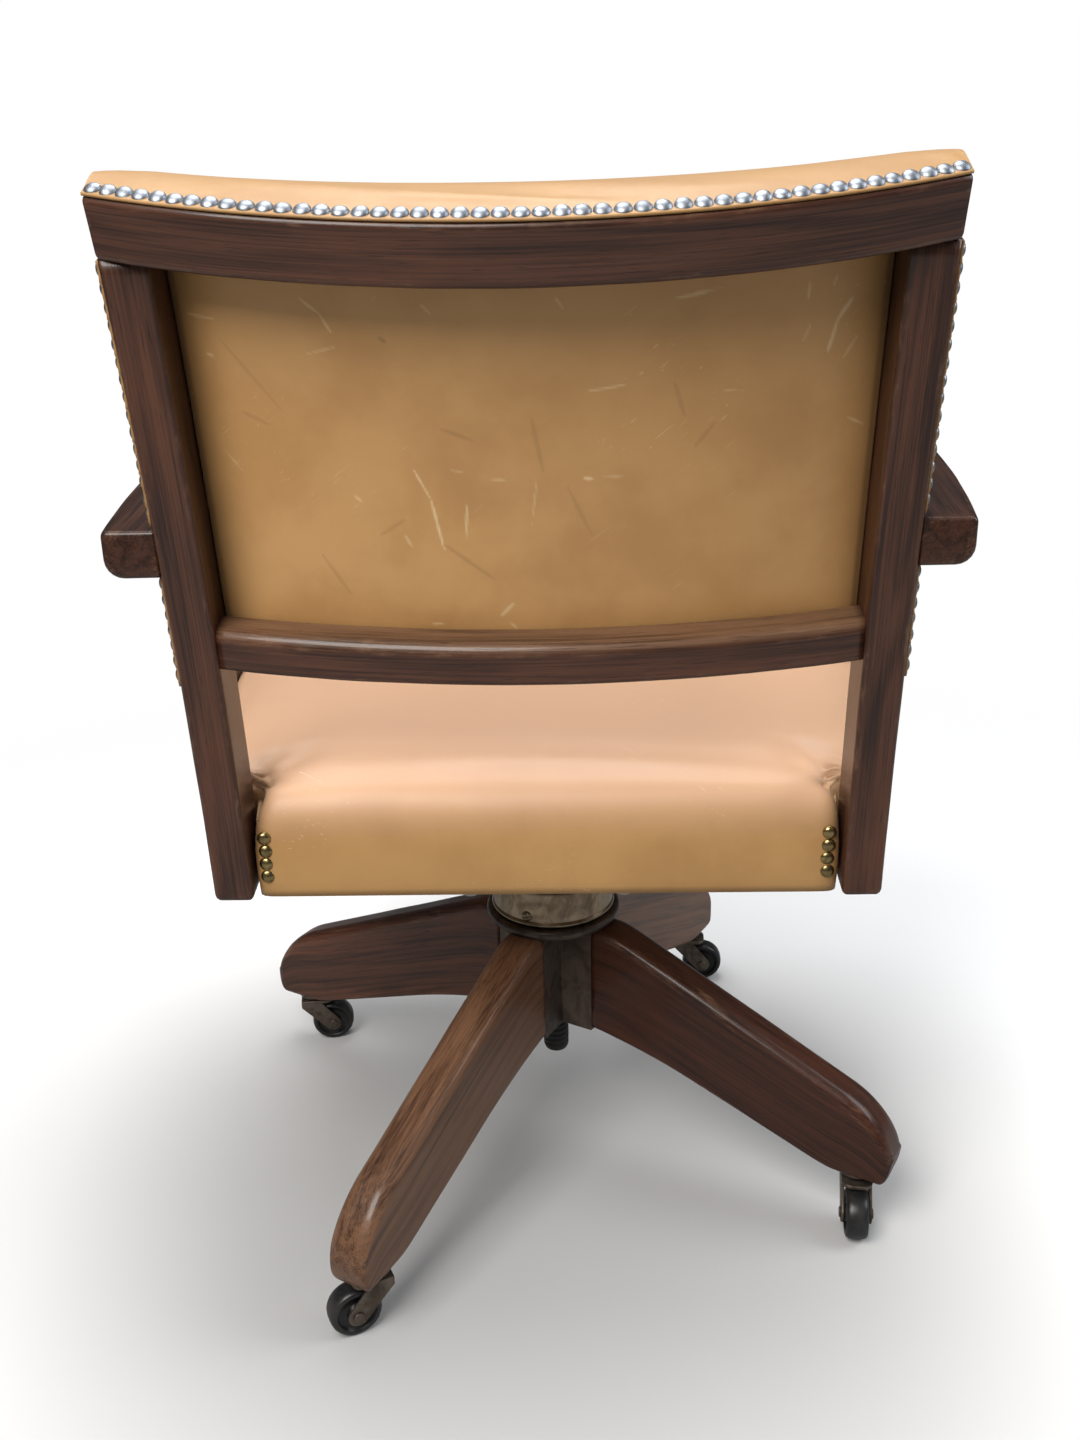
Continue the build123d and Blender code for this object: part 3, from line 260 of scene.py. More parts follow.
def oakFinish(name, dark, light, rubbed, pale, rub, coat, grained=True):
    made, tree, bsdf = newMaterial(name, Coat_Weight=coat, Coat_Roughness=0.14, Specular_IOR_Level=0.3)
    if grained:
        grain = attributeOf(tree, "grain", "Vector")
    else:
        grain = objectPlace(tree)
    edge = attributeOf(tree, "edge")
    figure = placeGroup(tree, oakFigure, {"Vector": grain})
    rubMask = placeGroup(tree, edgeRub, {"Edge": edge, "Vector": grain, "Amount": rub}).outputs["Mask"]
    stain = ramp(tree, figure.outputs["Streak"], 0.34, 0.68)
    colour = mixColour(tree, stain, dark, light)
    warm = ramp(tree, figure.outputs["Blotch"], 0.45, 0.75)
    colour = mixColour(tree, times(tree, warm, 0.45), colour, rubbed)
    # pale along the grain streaks: worn wood on the legs, and a painted highlight along the lower rail's top
    # edge
    wornAndLit = ramp(tree, figure.outputs["Streak"], 0.25, 0.62)
    wearAndHighlight = times(tree, attributeOf(tree, "wearAndHighlight"), wornAndLit)
    colour = mixColour(tree, wearAndHighlight, colour, shaded(pale, 0.72))
    # dim darkens a whole piece: painted shade on the rear right leg, and both arms a little darker all over
    colour = mixColour(tree, attributeOf(tree, "dim"), colour, shaded(dark, 0.6))
    colour = mixColour(tree, times(tree, figure.outputs["Pores"], 0.55), colour, (0.006, 0.004, 0.003, 1))
    colour = mixColour(tree, times(tree, rubMask, 0.8), colour, pale)
    tree.links.new(colour, bsdf.inputs["Base Color"])
    rough = plus(tree, times(tree, figure.outputs["Streak"], 0.3), 0.24)
    rough = plus(tree, rough, times(tree, rubMask, 0.16))
    tree.links.new(rough, bsdf.inputs["Roughness"])
    bumpInto(tree, bsdf, figure.outputs["Height"], 0.28, 0.0006)
    return made


def hideFinish(name, tan, deep, pale, fadedAndLit, grainDepth, scratched, lying=False):
    made, tree, bsdf = newMaterial(name, Specular_IOR_Level=0.4, Sheen_Weight=0.06, Sheen_Roughness=0.4)
    place = objectPlace(tree)
    if lying:
        place = turnedPlace(tree, place, (math.pi / 2, 0.0, 0.0))
    hide = placeGroup(tree, hideGrain, {"Vector": place})
    shade = attributeOf(tree, "shade")
    fade = attributeOf(tree, "fade")
    colour = mixColour(tree, ramp(tree, hide.outputs["Mottle"], 0.36, 0.7), tan, deep)
    colour = mixColour(tree, times(tree, ramp(tree, hide.outputs["Cloud"], 0.4, 0.7), 0.45), colour, deep)
    # fade: faded leather and painted light, the upward faces paler
    colour = mixColour(tree, times(tree, fade, 0.8), colour, fadedAndLit)
    # painted shade in the creases
    shadedCrease = attributeOf(tree, "shadedCrease")
    colour = mixColour(tree, shadedCrease, colour, shaded(deep, 0.6))
    colour = mixColour(tree, times(tree, shade, 0.75), colour, shaded(deep, 0.42))
    scuff = attributeOf(tree, "scuff")
    marks = mathNode(tree, "MAXIMUM", times(tree, hide.outputs["Scratch"], scratched), scuff)
    colour = mixColour(tree, marks, colour, pale)
    tree.links.new(colour, bsdf.inputs["Base Color"])
    rough = plus(tree, times(tree, hide.outputs["Mottle"], 0.24), 0.32)
    rough = plus(tree, rough, times(tree, marks, 0.2))
    tree.links.new(rough, bsdf.inputs["Roughness"])
    height = mathNode(tree, "SUBTRACT", hide.outputs["Height"], times(tree, plus(tree, marks, shadedCrease), 0.5))
    bumpInto(tree, bsdf, height, grainDepth, 0.0007)
    return made


def metalFinish(name, clean, stained, metallic, roughLift, stainAmount):
    made, tree, bsdf = newMaterial(name, Metallic=metallic)
    place = objectPlace(tree)
    skin = placeGroup(tree, tarnish, {"Vector": place})
    mask = times(tree, ramp(tree, skin.outputs["Stain"], 0.38, 0.66), stainAmount)
    colour = mixColour(tree, mask, clean, stained)
    colour = mixColour(tree, times(tree, skin.outputs["Speck"], 0.35), colour, shaded(stained, 0.4))
    tree.links.new(colour, bsdf.inputs["Base Color"])
    tree.links.new(plus(tree, skin.outputs["Roughness"], roughLift), bsdf.inputs["Roughness"])
    bumpInto(tree, bsdf, skin.outputs["Height"], 0.12, 0.0004)
    return made


def clothFinish(name, dark, light, pitch):
    made, tree, bsdf = newMaterial(name, Roughness=0.9)
    place = objectPlace(tree)
    inputs = {"Vector": place, "Scale": 1 / pitch / 6.28, "Distortion": 0.4}
    waves = [addNode(tree, "ShaderNodeTexWave", inputs, bands_direction=way).outputs["Fac"] for way in "XY"]
    weave = times(tree, *waves)
    tree.links.new(mixColour(tree, weave, dark, light), bsdf.inputs["Base Color"])
    bumpInto(tree, bsdf, weave, 0.3, 0.0004)
    return made


frameOak = oakFinish("frameOak", (0.022, 0.0074, 0.0042, 1), (0.096, 0.036, 0.0185, 1),
                     (0.12, 0.043, 0.02, 1), (0.28, 0.155, 0.085, 1), 0.36, 0.32)
baseOak = oakFinish("baseOak", (0.024, 0.0072, 0.0038, 1), (0.12, 0.038, 0.0175, 1), (0.16, 0.046, 0.019, 1),
                    (0.32, 0.175, 0.095, 1), 0.36, 0.3)
plainOak = oakFinish("plainOak", (0.25, 0.15, 0.075, 1), (0.42, 0.28, 0.15, 1), (0.4, 0.25, 0.13, 1),
                     (0.5, 0.36, 0.2, 1), 0.2, 0.0, False)
panelHide = hideFinish("panelHide", (0.56, 0.312, 0.12, 1), (0.47, 0.25, 0.09, 1), (0.78, 0.58, 0.33, 1),
                       (0.5, 0.31, 0.15, 1), 0.1, 0.3)
backHide = hideFinish("backHide", (0.4, 0.225, 0.085, 1), (0.33, 0.176, 0.061, 1), (0.62, 0.45, 0.24, 1),
                      (0.5, 0.31, 0.15, 1), 0.1, 0.08)
seatHide = hideFinish("seatHide", (0.51, 0.285, 0.105, 1), (0.43, 0.232, 0.082, 1), (0.84, 0.64, 0.46, 1),
                      (0.71, 0.44, 0.29, 1), 0.1, 0.6, True)
nickel = metalFinish("nickel", (0.36, 0.395, 0.45, 1), (0.17, 0.185, 0.2, 1), 1.0, 0.16, 0.5)
agedBrass = metalFinish("agedBrass", (0.42, 0.32, 0.14, 1), (0.12, 0.09, 0.045, 1), 1.0, 0.02, 0.7)
drumBronze = metalFinish("drumBronze", (0.33, 0.26, 0.18, 1), (0.12, 0.085, 0.052, 1), 1.0, 0.04, 0.75)
darkBronze = metalFinish("darkBronze", (0.1, 0.08, 0.065, 1), (0.045, 0.032, 0.024, 1), 0.85, 0.12, 0.8)
cheekMetal = metalFinish("cheekMetal", (0.13, 0.1, 0.08, 1), (0.06, 0.042, 0.032, 1), 0.7, 0.2, 0.8)
forkSteel = metalFinish("forkSteel", (0.2, 0.165, 0.135, 1), (0.085, 0.06, 0.042, 1), 0.85, 0.14, 0.85)
plainSteel = metalFinish("plainSteel", (0.46, 0.45, 0.43, 1), (0.2, 0.18, 0.16, 1), 1.0, 0.1, 0.5)
blackIron = metalFinish("blackIron", (0.022, 0.022, 0.023, 1), (0.04, 0.032, 0.026, 1), 0.3, 0.22, 0.5)
wheelBlack = metalFinish("wheelBlack", (0.012, 0.012, 0.013, 1), (0.035, 0.032, 0.03, 1), 0.0, 0.08, 0.6)
dustCloth = clothFinish("dustCloth", (0.01, 0.01, 0.011, 1), (0.03, 0.03, 0.032, 1), 0.0011)
print("finishes made")


# Mesh helpers

def linked(name, data):
    made = bpy.data.objects.new(name, data)
    bpy.context.scene.collection.objects.link(made)
    return made


def newPiece(name, mesh, body, finish, slotName, *nodes):
    made = linked(name, mesh)
    made.data.materials.append(finish)
    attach(made, body)
    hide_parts(*nodes)
    return made


def meshFrom(name, points, faces):
    mesh = bpy.data.meshes.new(name)
    mesh.from_pydata([tuple(p) for p in points], [], faces)
    work = bmesh.new()
    work.from_mesh(mesh)
    bmesh.ops.recalc_face_normals(work, faces=work.faces)
    work.to_mesh(mesh)
    work.free()
    mesh.polygons.foreach_set("use_smooth", [True] * len(mesh.polygons))
    return mesh


def weldSeam(piece):
    piece.modifiers.new("weld", "WELD").merge_threshold = 1e-6


def thicken(piece, thickness, offset):
    solid = piece.modifiers.new("thickness", "SOLIDIFY")
    solid.thickness = thickness
    solid.offset = offset


def smoothStep(value, low, high):
    share = min(max((value - low) / (high - low), 0.0), 1.0)
    return share * share * (3 - 2 * share)


def setLayer(mesh, label, values):
    vectors = hasattr(values[0], "__len__")
    layer = mesh.attributes.new(label, "FLOAT_VECTOR" if vectors else "FLOAT", "POINT")
    if vectors:
        layer.data.foreach_set("vector", [c for value in values for c in value])
    else:
        layer.data.foreach_set("value", values)


def gridFaces(rows, columns, closedRows=False):
    faces = []
    for i in range(rows - 1):
        for j in range(columns if closedRows else columns - 1):
            k = (j + 1) % columns
            faces.append((i * columns + j, i * columns + k, (i + 1) * columns + k, (i + 1) * columns + j))
    return faces


barSpec = {"arcSteps": 5, "flatSteps": 7, "roundLimit": 0.96, "edgeReach": 0.004, "wander": 0.0003,
           "swayScale": 22, "hubEdge": 0.15, "leastRound": 0.0005, "endSteps": 4}


def ringOutline(halfU, halfV, radii):
    # round-cornered rectangle as (u, v, nearness to a corner), anticlockwise from the +u +v corner
    signs = ((1, 1), (-1, 1), (-1, -1), (1, -1))
    arcSteps, flatSteps = barSpec["arcSteps"], barSpec["flatSteps"]
    limit = barSpec["roundLimit"] * min(halfU, halfV)
    arcs = []
    for (su, sv), radius, start in zip(signs, radii, (0, 90, 180, 270)):
        radius = max(min(radius, limit), 1e-5)
        centreU = su * (halfU - radius)
        centreV = sv * (halfV - radius)
        arc = []
        for i in range(arcSteps + 1):
            angle = math.radians(start + 90 * i / arcSteps)
            arc.append((centreU + radius * math.cos(angle), centreV + radius * math.sin(angle)))
        arcs.append(arc)
    outline = []
    for i in range(4):
        outline += [(u, v, 1.0) for u, v in arcs[i]]
        (u0, v0), (u1, v1) = arcs[i][-1], arcs[(i + 1) % 4][0]
        length = math.hypot(u1 - u0, v1 - v0)
        for j in range(1, flatSteps):
            share = 0.5 - 0.5 * math.cos(math.pi * j / flatSteps)
            nearness = math.exp(-min(share, 1 - share) * length / barSpec["edgeReach"])
            outline.append((u0 + (u1 - u0) * share, v0 + (v1 - v0) * share, nearness))
    return outline


def barMesh(name, stations):
    # stations: (centre, acrossU, acrossV, halfU, halfV, radii, along, endness)
    points, edge, grain = [], [], []
    for centre, acrossU, acrossV, halfU, halfV, radii, along, endness in stations:
        for u, v, nearness in ringOutline(halfU, halfV, radii):
            point = centre + acrossU * u + acrossV * v
            sway = noise.noise(point * barSpec["swayScale"]) * barSpec["wander"]
            points.append(point + (acrossU * u + acrossV * v).normalized() * sway)
            edge.append(max(nearness, endness))
            grain.append((u, v, along))
    count = len(points) // len(stations)
    faces = gridFaces(len(stations), count, True)
    for row in (0, len(stations) - 1):
        centre, along = stations[row][0], stations[row][6]
        points.append(centre)
        edge.append(barSpec["hubEdge"])
        grain.append((0.0, 0.0, along))
        hub = len(points) - 1
        for j in range(count):
            faces.append((row * count + j, row * count + (j + 1) % count, hub))
    mesh = meshFrom(name, points, faces)
    setLayer(mesh, "edge", edge)
    setLayer(mesh, "grain", grain)
    return mesh


def oakPiece(name, node, stations, body="seat", finish=frameOak, slotName="frame_oak"):
    return newPiece(name, barMesh(node, stations), body, finish, slotName, node)


def easedEnds(stations, radius, first=True, last=True):
    # rounds the arris at an end by shrinking extra rings towards it
    result, steps = [], barSpec["endSteps"]
    for index, station in enumerate(stations):
        atFirst = first and index == 0
        atLast = last and index == len(stations) - 1
        if not (atFirst or atLast):
            result.append(station)
            continue
        centre, acrossU, acrossV, halfU, halfV, radii, along, _ = station
        neighbour = stations[1] if atFirst else stations[-2]
        inwards = (neighbour[0] - centre).normalized()
        rings = []
        for i in range(steps + 1):
            angle = math.pi / 2 * i / steps
            back = radius * (1 - math.sin(angle))
            shrink = radius * (1 - math.cos(angle))
            rounds = tuple(max(r - shrink * 0.5, barSpec["leastRound"]) for r in radii)
            rings.append((centre + inwards * back, acrossU, acrossV, halfU - shrink, halfV - shrink, rounds,
                          along, 1.0))
        result += rings[::-1] if atFirst else rings
    return result


def lathe(profile, segments):
    # closed or open profile of (radius, height) turned about Z
    points = []
    for radius, height in profile:
        for i in range(segments):
            angle = 2 * math.pi * i / segments
            points.append(Vector((radius * math.cos(angle), radius * math.sin(angle), height)))
    return points, gridFaces(len(profile), segments, True)


arrisSpec = {"merge": 1e-6, "flatAngle": 0.6, "sharpAngle": 35.0}


def softenedCopy(node, finish, slotName, width, segments=2):
    # a machined or cast piece: the solid's own mesh with its arrises broken
    source = frame["nodes"][node]
    mesh = source.data.copy()
    work = bmesh.new()
    work.from_mesh(mesh)
    bmesh.ops.remove_doubles(work, verts=work.verts, dist=arrisSpec["merge"])
    flat = math.radians(arrisSpec["flatAngle"])
    bmesh.ops.dissolve_limit(work, angle_limit=flat, verts=work.verts, edges=work.edges)
    for face in work.faces:
        face.smooth = True
    work.to_mesh(mesh)
    work.free()
    mesh.materials.clear()
    made = newPiece(node + "Piece", mesh, source["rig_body"], finish, slotName, node)
    bevel = made.modifiers.new("arris", "BEVEL")
    bevel.width = width
    bevel.segments = segments
    bevel.limit_method = "ANGLE"
    bevel.angle_limit = math.radians(arrisSpec["sharpAngle"])
    bevel.harden_normals = True
    return made


# The back's geometry, in metres, as the solids have it

back = {"footY": 0.2097, "footZ": 0.3585, "footLean": 4.8, "curve": 2.75, "outer": 0.255, "postWidth": 0.03,
        "postDepth": 0.044, "crestZ": 0.8348, "crestLean": 20.0, "crestHeight": 0.038, "crestDepth": 0.028,
        "crestBow": 0.054, "railZ": 0.555, "railHeight": 0.031, "railDepth": 0.029, "railBow": 0.03,
        "railInset": 0.003, "panelBow": 0.048, "hideThick": 0.0022}


def backLean(z):
    return math.asin(math.sin(math.radians(back["footLean"])) + (z - back["footZ"]) / back["curve"])


def backRear(z):
    return back["footY"] + back["curve"] * (math.cos(math.radians(back["footLean"])) - math.cos(backLean(z)))


def backFrame(z, lean=None):
    # origin on the posts' rear line, the backward and the upward direction there
    angle = backLean(z) if lean is None else math.radians(lean)
    return (Vector((0, backRear(z), z)), Vector((0, math.cos(angle), -math.sin(angle))),
            Vector((0, math.sin(angle), math.cos(angle))))


def arcBow(x, half, bow):
    # rise of an arc over its chord
    radius = (half * half + bow * bow) / (2 * bow)
    return math.sqrt(max(radius * radius - x * x, 0.0)) - (radius - bow)


def panelBowAt(z):
    share = (z - back["railZ"]) / (back["crestZ"] - back["railZ"])
    return back["railBow"] + (back["panelBow"] - back["railBow"]) * share


def spread(low, high, count):
    return [low + (high - low) * i / (count - 1) for i in range(count)]


postSpec = {"stations": 52, "grainShift": 3.7, "rearRound": 0.0034, "frontRound": 0.003, "footRound": 0.007}


def makePost(side, node):
    stations = []
    for z in spread(back["footZ"], back["crestZ"], postSpec["stations"]):
        last = z > back["crestZ"] - 1e-6
        rear, backward, _ = backFrame(z, back["crestLean"] if last else None)
        centre = rear - backward * back["postDepth"] / 2
        centre.x = side * (back["outer"] - back["postWidth"] / 2)
        radii = (postSpec["rearRound"], postSpec["rearRound"], postSpec["frontRound"], postSpec["frontRound"])
        stations.append((centre, Vector((1, 0, 0)), backward, back["postWidth"] / 2, back["postDepth"] / 2,
                         radii, z + side * postSpec["grainShift"], 0.0))
    stations = easedEnds(stations, postSpec["footRound"], True, False)
    oakPiece(node + "Oak", node, stations)


makePost(1, "back_post_left")
makePost(-1, "back_post_right")


railSpec = {"stations": 72, "crestRound": 0.0034, "crestUnder": 0.004, "lowerRound": 0.008,
            "lowerUnder": 0.0042, "crestFront": 0.002, "lowerFront": 0.003, "crestEnd": 0.0028,
            "crestShift": 9.1, "lowerShift": 17.3, "wearAndHighlight": 0.8, "highlightLow": 0.0085, "highlightHigh": 0.0135}


def makeCrest():
    origin, backward, upward = backFrame(back["crestZ"], back["crestLean"])
    stations = []
    for x in spread(-back["outer"], back["outer"], railSpec["stations"]):
        centre = origin + backward * (arcBow(x, back["outer"], back["crestBow"]) - back["crestDepth"] / 2)
        centre += upward * back["crestHeight"] / 2 + Vector((x, 0, 0))
        front = railSpec["crestFront"]
        radii = (railSpec["crestRound"], front, front, railSpec["crestUnder"])
        stations.append((centre, backward, upward, back["crestDepth"] / 2, back["crestHeight"] / 2, radii,
                         x + railSpec["crestShift"], 0.0))
    oakPiece("crestOak", "crest_rail", easedEnds(stations, railSpec["crestEnd"]))


def makeLowerRail():
    half = back["outer"] - back["postWidth"]
    origin, backward, upward = backFrame(back["railZ"])
    stations = []
    for x in spread(-half, half, railSpec["stations"]):
        depth = arcBow(x, half, back["railBow"]) - back["railInset"] - back["railDepth"] / 2
        centre = origin + backward * depth
        centre += upward * back["railHeight"] / 2 + Vector((x, 0, 0))
        front = railSpec["lowerFront"]
        radii = (railSpec["lowerRound"], front, front, railSpec["lowerUnder"])
        stations.append((centre, backward, upward, back["railDepth"] / 2, back["railHeight"] / 2, radii,
                         x + railSpec["lowerShift"], 0.0))
    rail = oakPiece("lowerRailOak", "lower_rail", stations)
    # painted highlight: the rail's rounded top is paled towards its upper edge
    heights = [entry.vector[1] for entry in rail.data.attributes["grain"].data]
    wornAndLit = [railSpec["wearAndHighlight"] * smoothStep(v, railSpec["highlightLow"], railSpec["highlightHigh"]) for v in heights]
    setLayer(rail.data, "wearAndHighlight", wornAndLit)


makeCrest()
makeLowerRail()


armSpec = {"top": 0.66, "thick": 0.033, "rearY": 0.244, "rearOut": 0.293, "midY": 0.12, "midOut": 0.311,
           "frontOut": 0.327, "frontY": -0.064, "paw": 0.027, "underRound": 0.013, "topRound": 0.0042,
           "jointY": 0.2, "dim": 0.4, "stations": 44, "flushRun": 0.03, "flushRound": 0.002, "pawSteps": 14,
           "thinnest": 0.0012, "pawDrop": 0.006, "pawEdge": 0.5, "rearEase": 0.003, "grainShift": 5.3}


def armOuter(y):
    # parabola through the three measured widths
    points = [(armSpec[key + "Y"], armSpec[key + "Out"]) for key in ("rear", "mid", "front")]
    total = 0.0
    for i, (yi, xi) in enumerate(points):
        weight = 1.0
        for j, (yj, _) in enumerate(points):
            if i != j:
                weight *= (y - yj) / (yi - yj)
        total += weight * xi
    return total


def armInner(y):
    share = min(max((armSpec["jointY"] - y) / (armSpec["jointY"] - armSpec["frontY"]), 0.0), 1.0)
    return back["outer"] + (armSpec["frontOut"] - 2 * armSpec["paw"] - back["outer"]) * share


def makeArm(side, node):
    stations = []
    middleZ = armSpec["top"] - armSpec["thick"] / 2
    radii = (armSpec["topRound"], armSpec["topRound"], armSpec["underRound"], armSpec["underRound"])
    for y in spread(armSpec["rearY"], armSpec["frontY"], armSpec["stations"]):
        outer, inner = armOuter(y), armInner(y)
        flush = min(max((armSpec["jointY"] - y) / armSpec["flushRun"], 0.0), 1.0)
        sharp = armSpec["flushRound"]
        shaped = (radii[0], sharp + (radii[1] - sharp) * flush, sharp + (radii[2] - sharp) * flush, radii[3])
        middle = Vector((side * (outer + inner) / 2, y, middleZ))
        stations.append((middle, Vector((side, 0, 0)), Vector((0, 0, 1)), (outer - inner) / 2,
                         armSpec["thick"] / 2, shaped, y + side * armSpec["grainShift"], 0.0))
    centreX = armSpec["frontOut"] - armSpec["paw"]
    for i in range(1, armSpec["pawSteps"] + 1):
        angle = math.pi / 2 * i / armSpec["pawSteps"]
        half = max(armSpec["paw"] * math.cos(angle), armSpec["thinnest"])
        y = armSpec["frontY"] - armSpec["paw"] * math.sin(angle)
        shrink = armSpec["pawDrop"] * (1 - math.cos(angle)) ** 2
        stations.append((Vector((side * centreX, y, middleZ)), Vector((side, 0, 0)), Vector((0, 0, 1)), half,
                         armSpec["thick"] / 2 - shrink, radii, y + side * armSpec["grainShift"],
                         armSpec["pawEdge"] * math.sin(angle) ** 6))
    arm = oakPiece(node + "Oak", node, easedEnds(stations, armSpec["rearEase"], True, False))
    setLayer(arm.data, "dim", [armSpec["dim"]] * len(arm.data.vertices))


makeArm(1, "arm_left")
makeArm(-1, "arm_right")


propSpec = {"x": 0.30134, "y": -0.064, "depth": 0.042, "width": 0.026, "footZ": 0.368, "topZ": 0.627,
            "round": 0.005, "footEase": 0.004, "stations": 40, "grainShift": 2.9}


def makeProp(side, node):
    stations = []
    for z in spread(propSpec["footZ"], propSpec["topZ"], propSpec["stations"]):
        centre = Vector((side * propSpec["x"], propSpec["y"], z))
        stations.append((centre, Vector((side, 0, 0)), Vector((0, 1, 0)), propSpec["width"] / 2,
                         propSpec["depth"] / 2, (propSpec["round"],) * 4,
                         z + side * propSpec["grainShift"], 0.0))
    oakPiece(node + "Oak", node, easedEnds(stations, propSpec["footEase"], True, False))


makeProp(1, "arm_support_left")
makeProp(-1, "arm_support_right")
print("back frame and arms made")


# Base

def around(degrees):
    angle = math.radians(degrees)
    return Vector((math.cos(angle), math.sin(angle), 0))


legSpec = {"turn": 61.15, "thick": 0.036, "inner": 0.049, "shoulder": 0.069, "breakR": 0.29, "breakZ": 0.138,
           "tip": 0.337, "noseZ": 0.084, "topZ": 0.236, "hubZ": 0.13, "archR": 0.156, "archZ": 0.103,
           "heel": 0.282, "toe": 0.327, "footZ": 0.058, "topRound": 0.0105, "underRound": 0.0048,
           "wearAndHighlight": (0.62, 0.0, 0.6, 0.1), "dim": (0.0, 0.5, 0.0, 0.0), "bodyStations": 54,
           "noseStations": 26, "noseGap": 0.0002, "thinnest": 0.0012, "noseTaper": 0.004, "endStart": 0.325,
           "endRun": 0.012, "endEdge": 0.55, "endLimit": 0.6, "shoulderSoft": 0.004, "heelSoft": 0.005,
           "grainShift": 4.4}
legNames = ("rear_left", "rear_right", "front_right", "front_left")


def legTop(r):
    slope = (legSpec["topZ"] - legSpec["breakZ"]) / (legSpec["breakR"] - legSpec["shoulder"])
    if r <= legSpec["breakR"]:
        soft = legSpec["shoulderSoft"]
        fall = soft * math.log1p(math.exp((r - legSpec["shoulder"]) / soft))
        return legSpec["topZ"] - slope * fall
    tangent = Vector((1, -slope)).normalized()
    normal = Vector((tangent.y, -tangent.x))
    chord = Vector((legSpec["tip"] - legSpec["breakR"], legSpec["noseZ"] - legSpec["breakZ"]))
    radius = chord.length_squared / (2 * normal.dot(chord))
    centre = Vector((legSpec["breakR"], legSpec["breakZ"])) + normal * radius
    return centre.y + math.sqrt(max(radius * radius - (r - centre.x) ** 2, 0.0))


def legUnder(r):
    slope = (legSpec["archZ"] - legSpec["footZ"]) / (legSpec["heel"] - legSpec["archR"])
    if r < legSpec["archR"]:
        run = legSpec["archR"] - r
        full = legSpec["archR"] - legSpec["inner"]
        flatten = (legSpec["archZ"] + slope * full - legSpec["hubZ"]) / full ** 2
        return legSpec["archZ"] + slope * run - flatten * run * run
    if r > legSpec["toe"]:
        share = min((r - legSpec["toe"]) / (legSpec["tip"] - legSpec["toe"]), 1.0)
        return legSpec["noseZ"] - (legSpec["noseZ"] - legSpec["footZ"]) * math.sqrt(1 - share * share)
    soft = legSpec["heelSoft"]
    return legSpec["footZ"] + slope * soft * math.log1p(math.exp((legSpec["heel"] - r) / soft))


def makeLeg(index):
    name = legNames[index]
    outward = around(legSpec["turn"] + 90 * index)
    sideways = Vector((-outward.y, outward.x, 0))
    radiusList = spread(legSpec["inner"], legSpec["breakR"], legSpec["bodyStations"])
    nose = legSpec["tip"] - legSpec["breakR"] - legSpec["noseGap"]
    for i in range(1, legSpec["noseStations"] + 1):
        radiusList.append(legSpec["breakR"] + nose * math.sin(math.pi / 2 * i / legSpec["noseStations"]))
    stations = []
    for r in radiusList:
        top, under = legTop(r), legUnder(r)
        half = max((top - under) / 2, legSpec["thinnest"])
        past = max((r - legSpec["toe"]) / (legSpec["tip"] - legSpec["toe"]), 0.0)
        narrowing = legSpec["noseTaper"] * past ** 3
        centre = outward * r + Vector((0, 0, (top + under) / 2))
        radii = (legSpec["topRound"], legSpec["topRound"], legSpec["underRound"], legSpec["underRound"])
        endness = legSpec["endEdge"] * max((r - legSpec["endStart"]) / legSpec["endRun"], 0.0)
        stations.append((centre, sideways, Vector((0, 0, 1)), legSpec["thick"] / 2 - narrowing, half, radii,
                         r + legSpec["grainShift"] * index, min(endness, legSpec["endLimit"])))
    leg = oakPiece(f"leg_{name}Oak", f"leg_{name}", stations, "base", baseOak, "base_oak")
    # per leg: paler worn grain, and painted shade that darkens the whole rear right leg
    for layer in ("wearAndHighlight", "dim"):
        setLayer(leg.data, layer, [legSpec[layer][index]] * len(leg.data.vertices))


for legIndex in range(4):
    makeLeg(legIndex)


drumSpec = {"profile": [(13.9, 286), (44, 286), (49.6, 285.5), (52.8, 283.6), (54.5, 280.6), (55, 277),
                        (55, 264), (55, 252), (55.3, 250.9), (56.3, 250.3), (56.9, 248.9), (56.5, 247.3),
                        (55.2, 246.5), (52.5, 246.4), (52.5, 277), (51, 281), (46, 283.5), (13.9, 283.5),
                        (13.9, 286)]}
flangeSpec = {"profile": [(13.6, 236.1), (58, 236.1), (60.4, 236.5), (61.7, 238), (62, 240.6), (61.6, 243.4),
                          (60, 245.3), (57.6, 246), (40, 246), (13.6, 246), (13.6, 236.1)]}


def makeTurned(name, spec, body, finish, slotName, node, segments=96):
    points, faces = lathe([(r * mm, z * mm) for r, z in spec["profile"]], segments)
    weldSeam(newPiece(name, meshFrom(name, points, faces), body, finish, slotName, node))


makeTurned("drumShell", drumSpec, "nut", drumBronze, "drum_metal", "nut_drum")
makeTurned("flangePlate", flangeSpec, "base", darkBronze, "hub_iron", "hub_flange")


def screwHead(spec, rows=11, columns=36, crown=0.93, skirt=0.0004):
    # round head with a driver slot along its local x
    points = []
    for i in range(rows):
        share = math.sin(math.pi / 2 * i / (rows - 1))
        height = spec["headHeight"] * math.sqrt(max(1 - share ** 2 * crown, 0))
        for j in range(columns):
            angle = 2 * math.pi * j / columns
            x, y = (spec["headRadius"] * share * turn(angle) for turn in (math.cos, math.sin))
            cut = max(0.0, 1 - (abs(y) / spec["slotHalf"]) ** 6)
            points.append(Vector((x, y, max(height - spec["slotDepth"] * cut, 0.0))))
    points += [Vector((rim.x, rim.y, -skirt)) for rim in points[-columns:]]
    return points, gridFaces(rows + 1, columns, True)


def facing(place, outward, spin=0.0):
    turn = outward.to_track_quat("Z", "Y").to_matrix().to_4x4()
    return Matrix.Translation(place) @ turn @ Matrix.Rotation(spin, 4, "Z")


def scattered(name, shape, matrices, body, finish, slotName, *nodes):
    # one mesh made of many copies of a small shape
    basePoints, baseFaces = shape
    points, faces = [], []
    for matrix in matrices:
        start = len(points)
        points += [matrix @ p for p in basePoints]
        faces += [tuple(start + i for i in face) for face in baseFaces]
    return newPiece(name, meshFrom(name, points, faces), body, finish, slotName, *nodes)


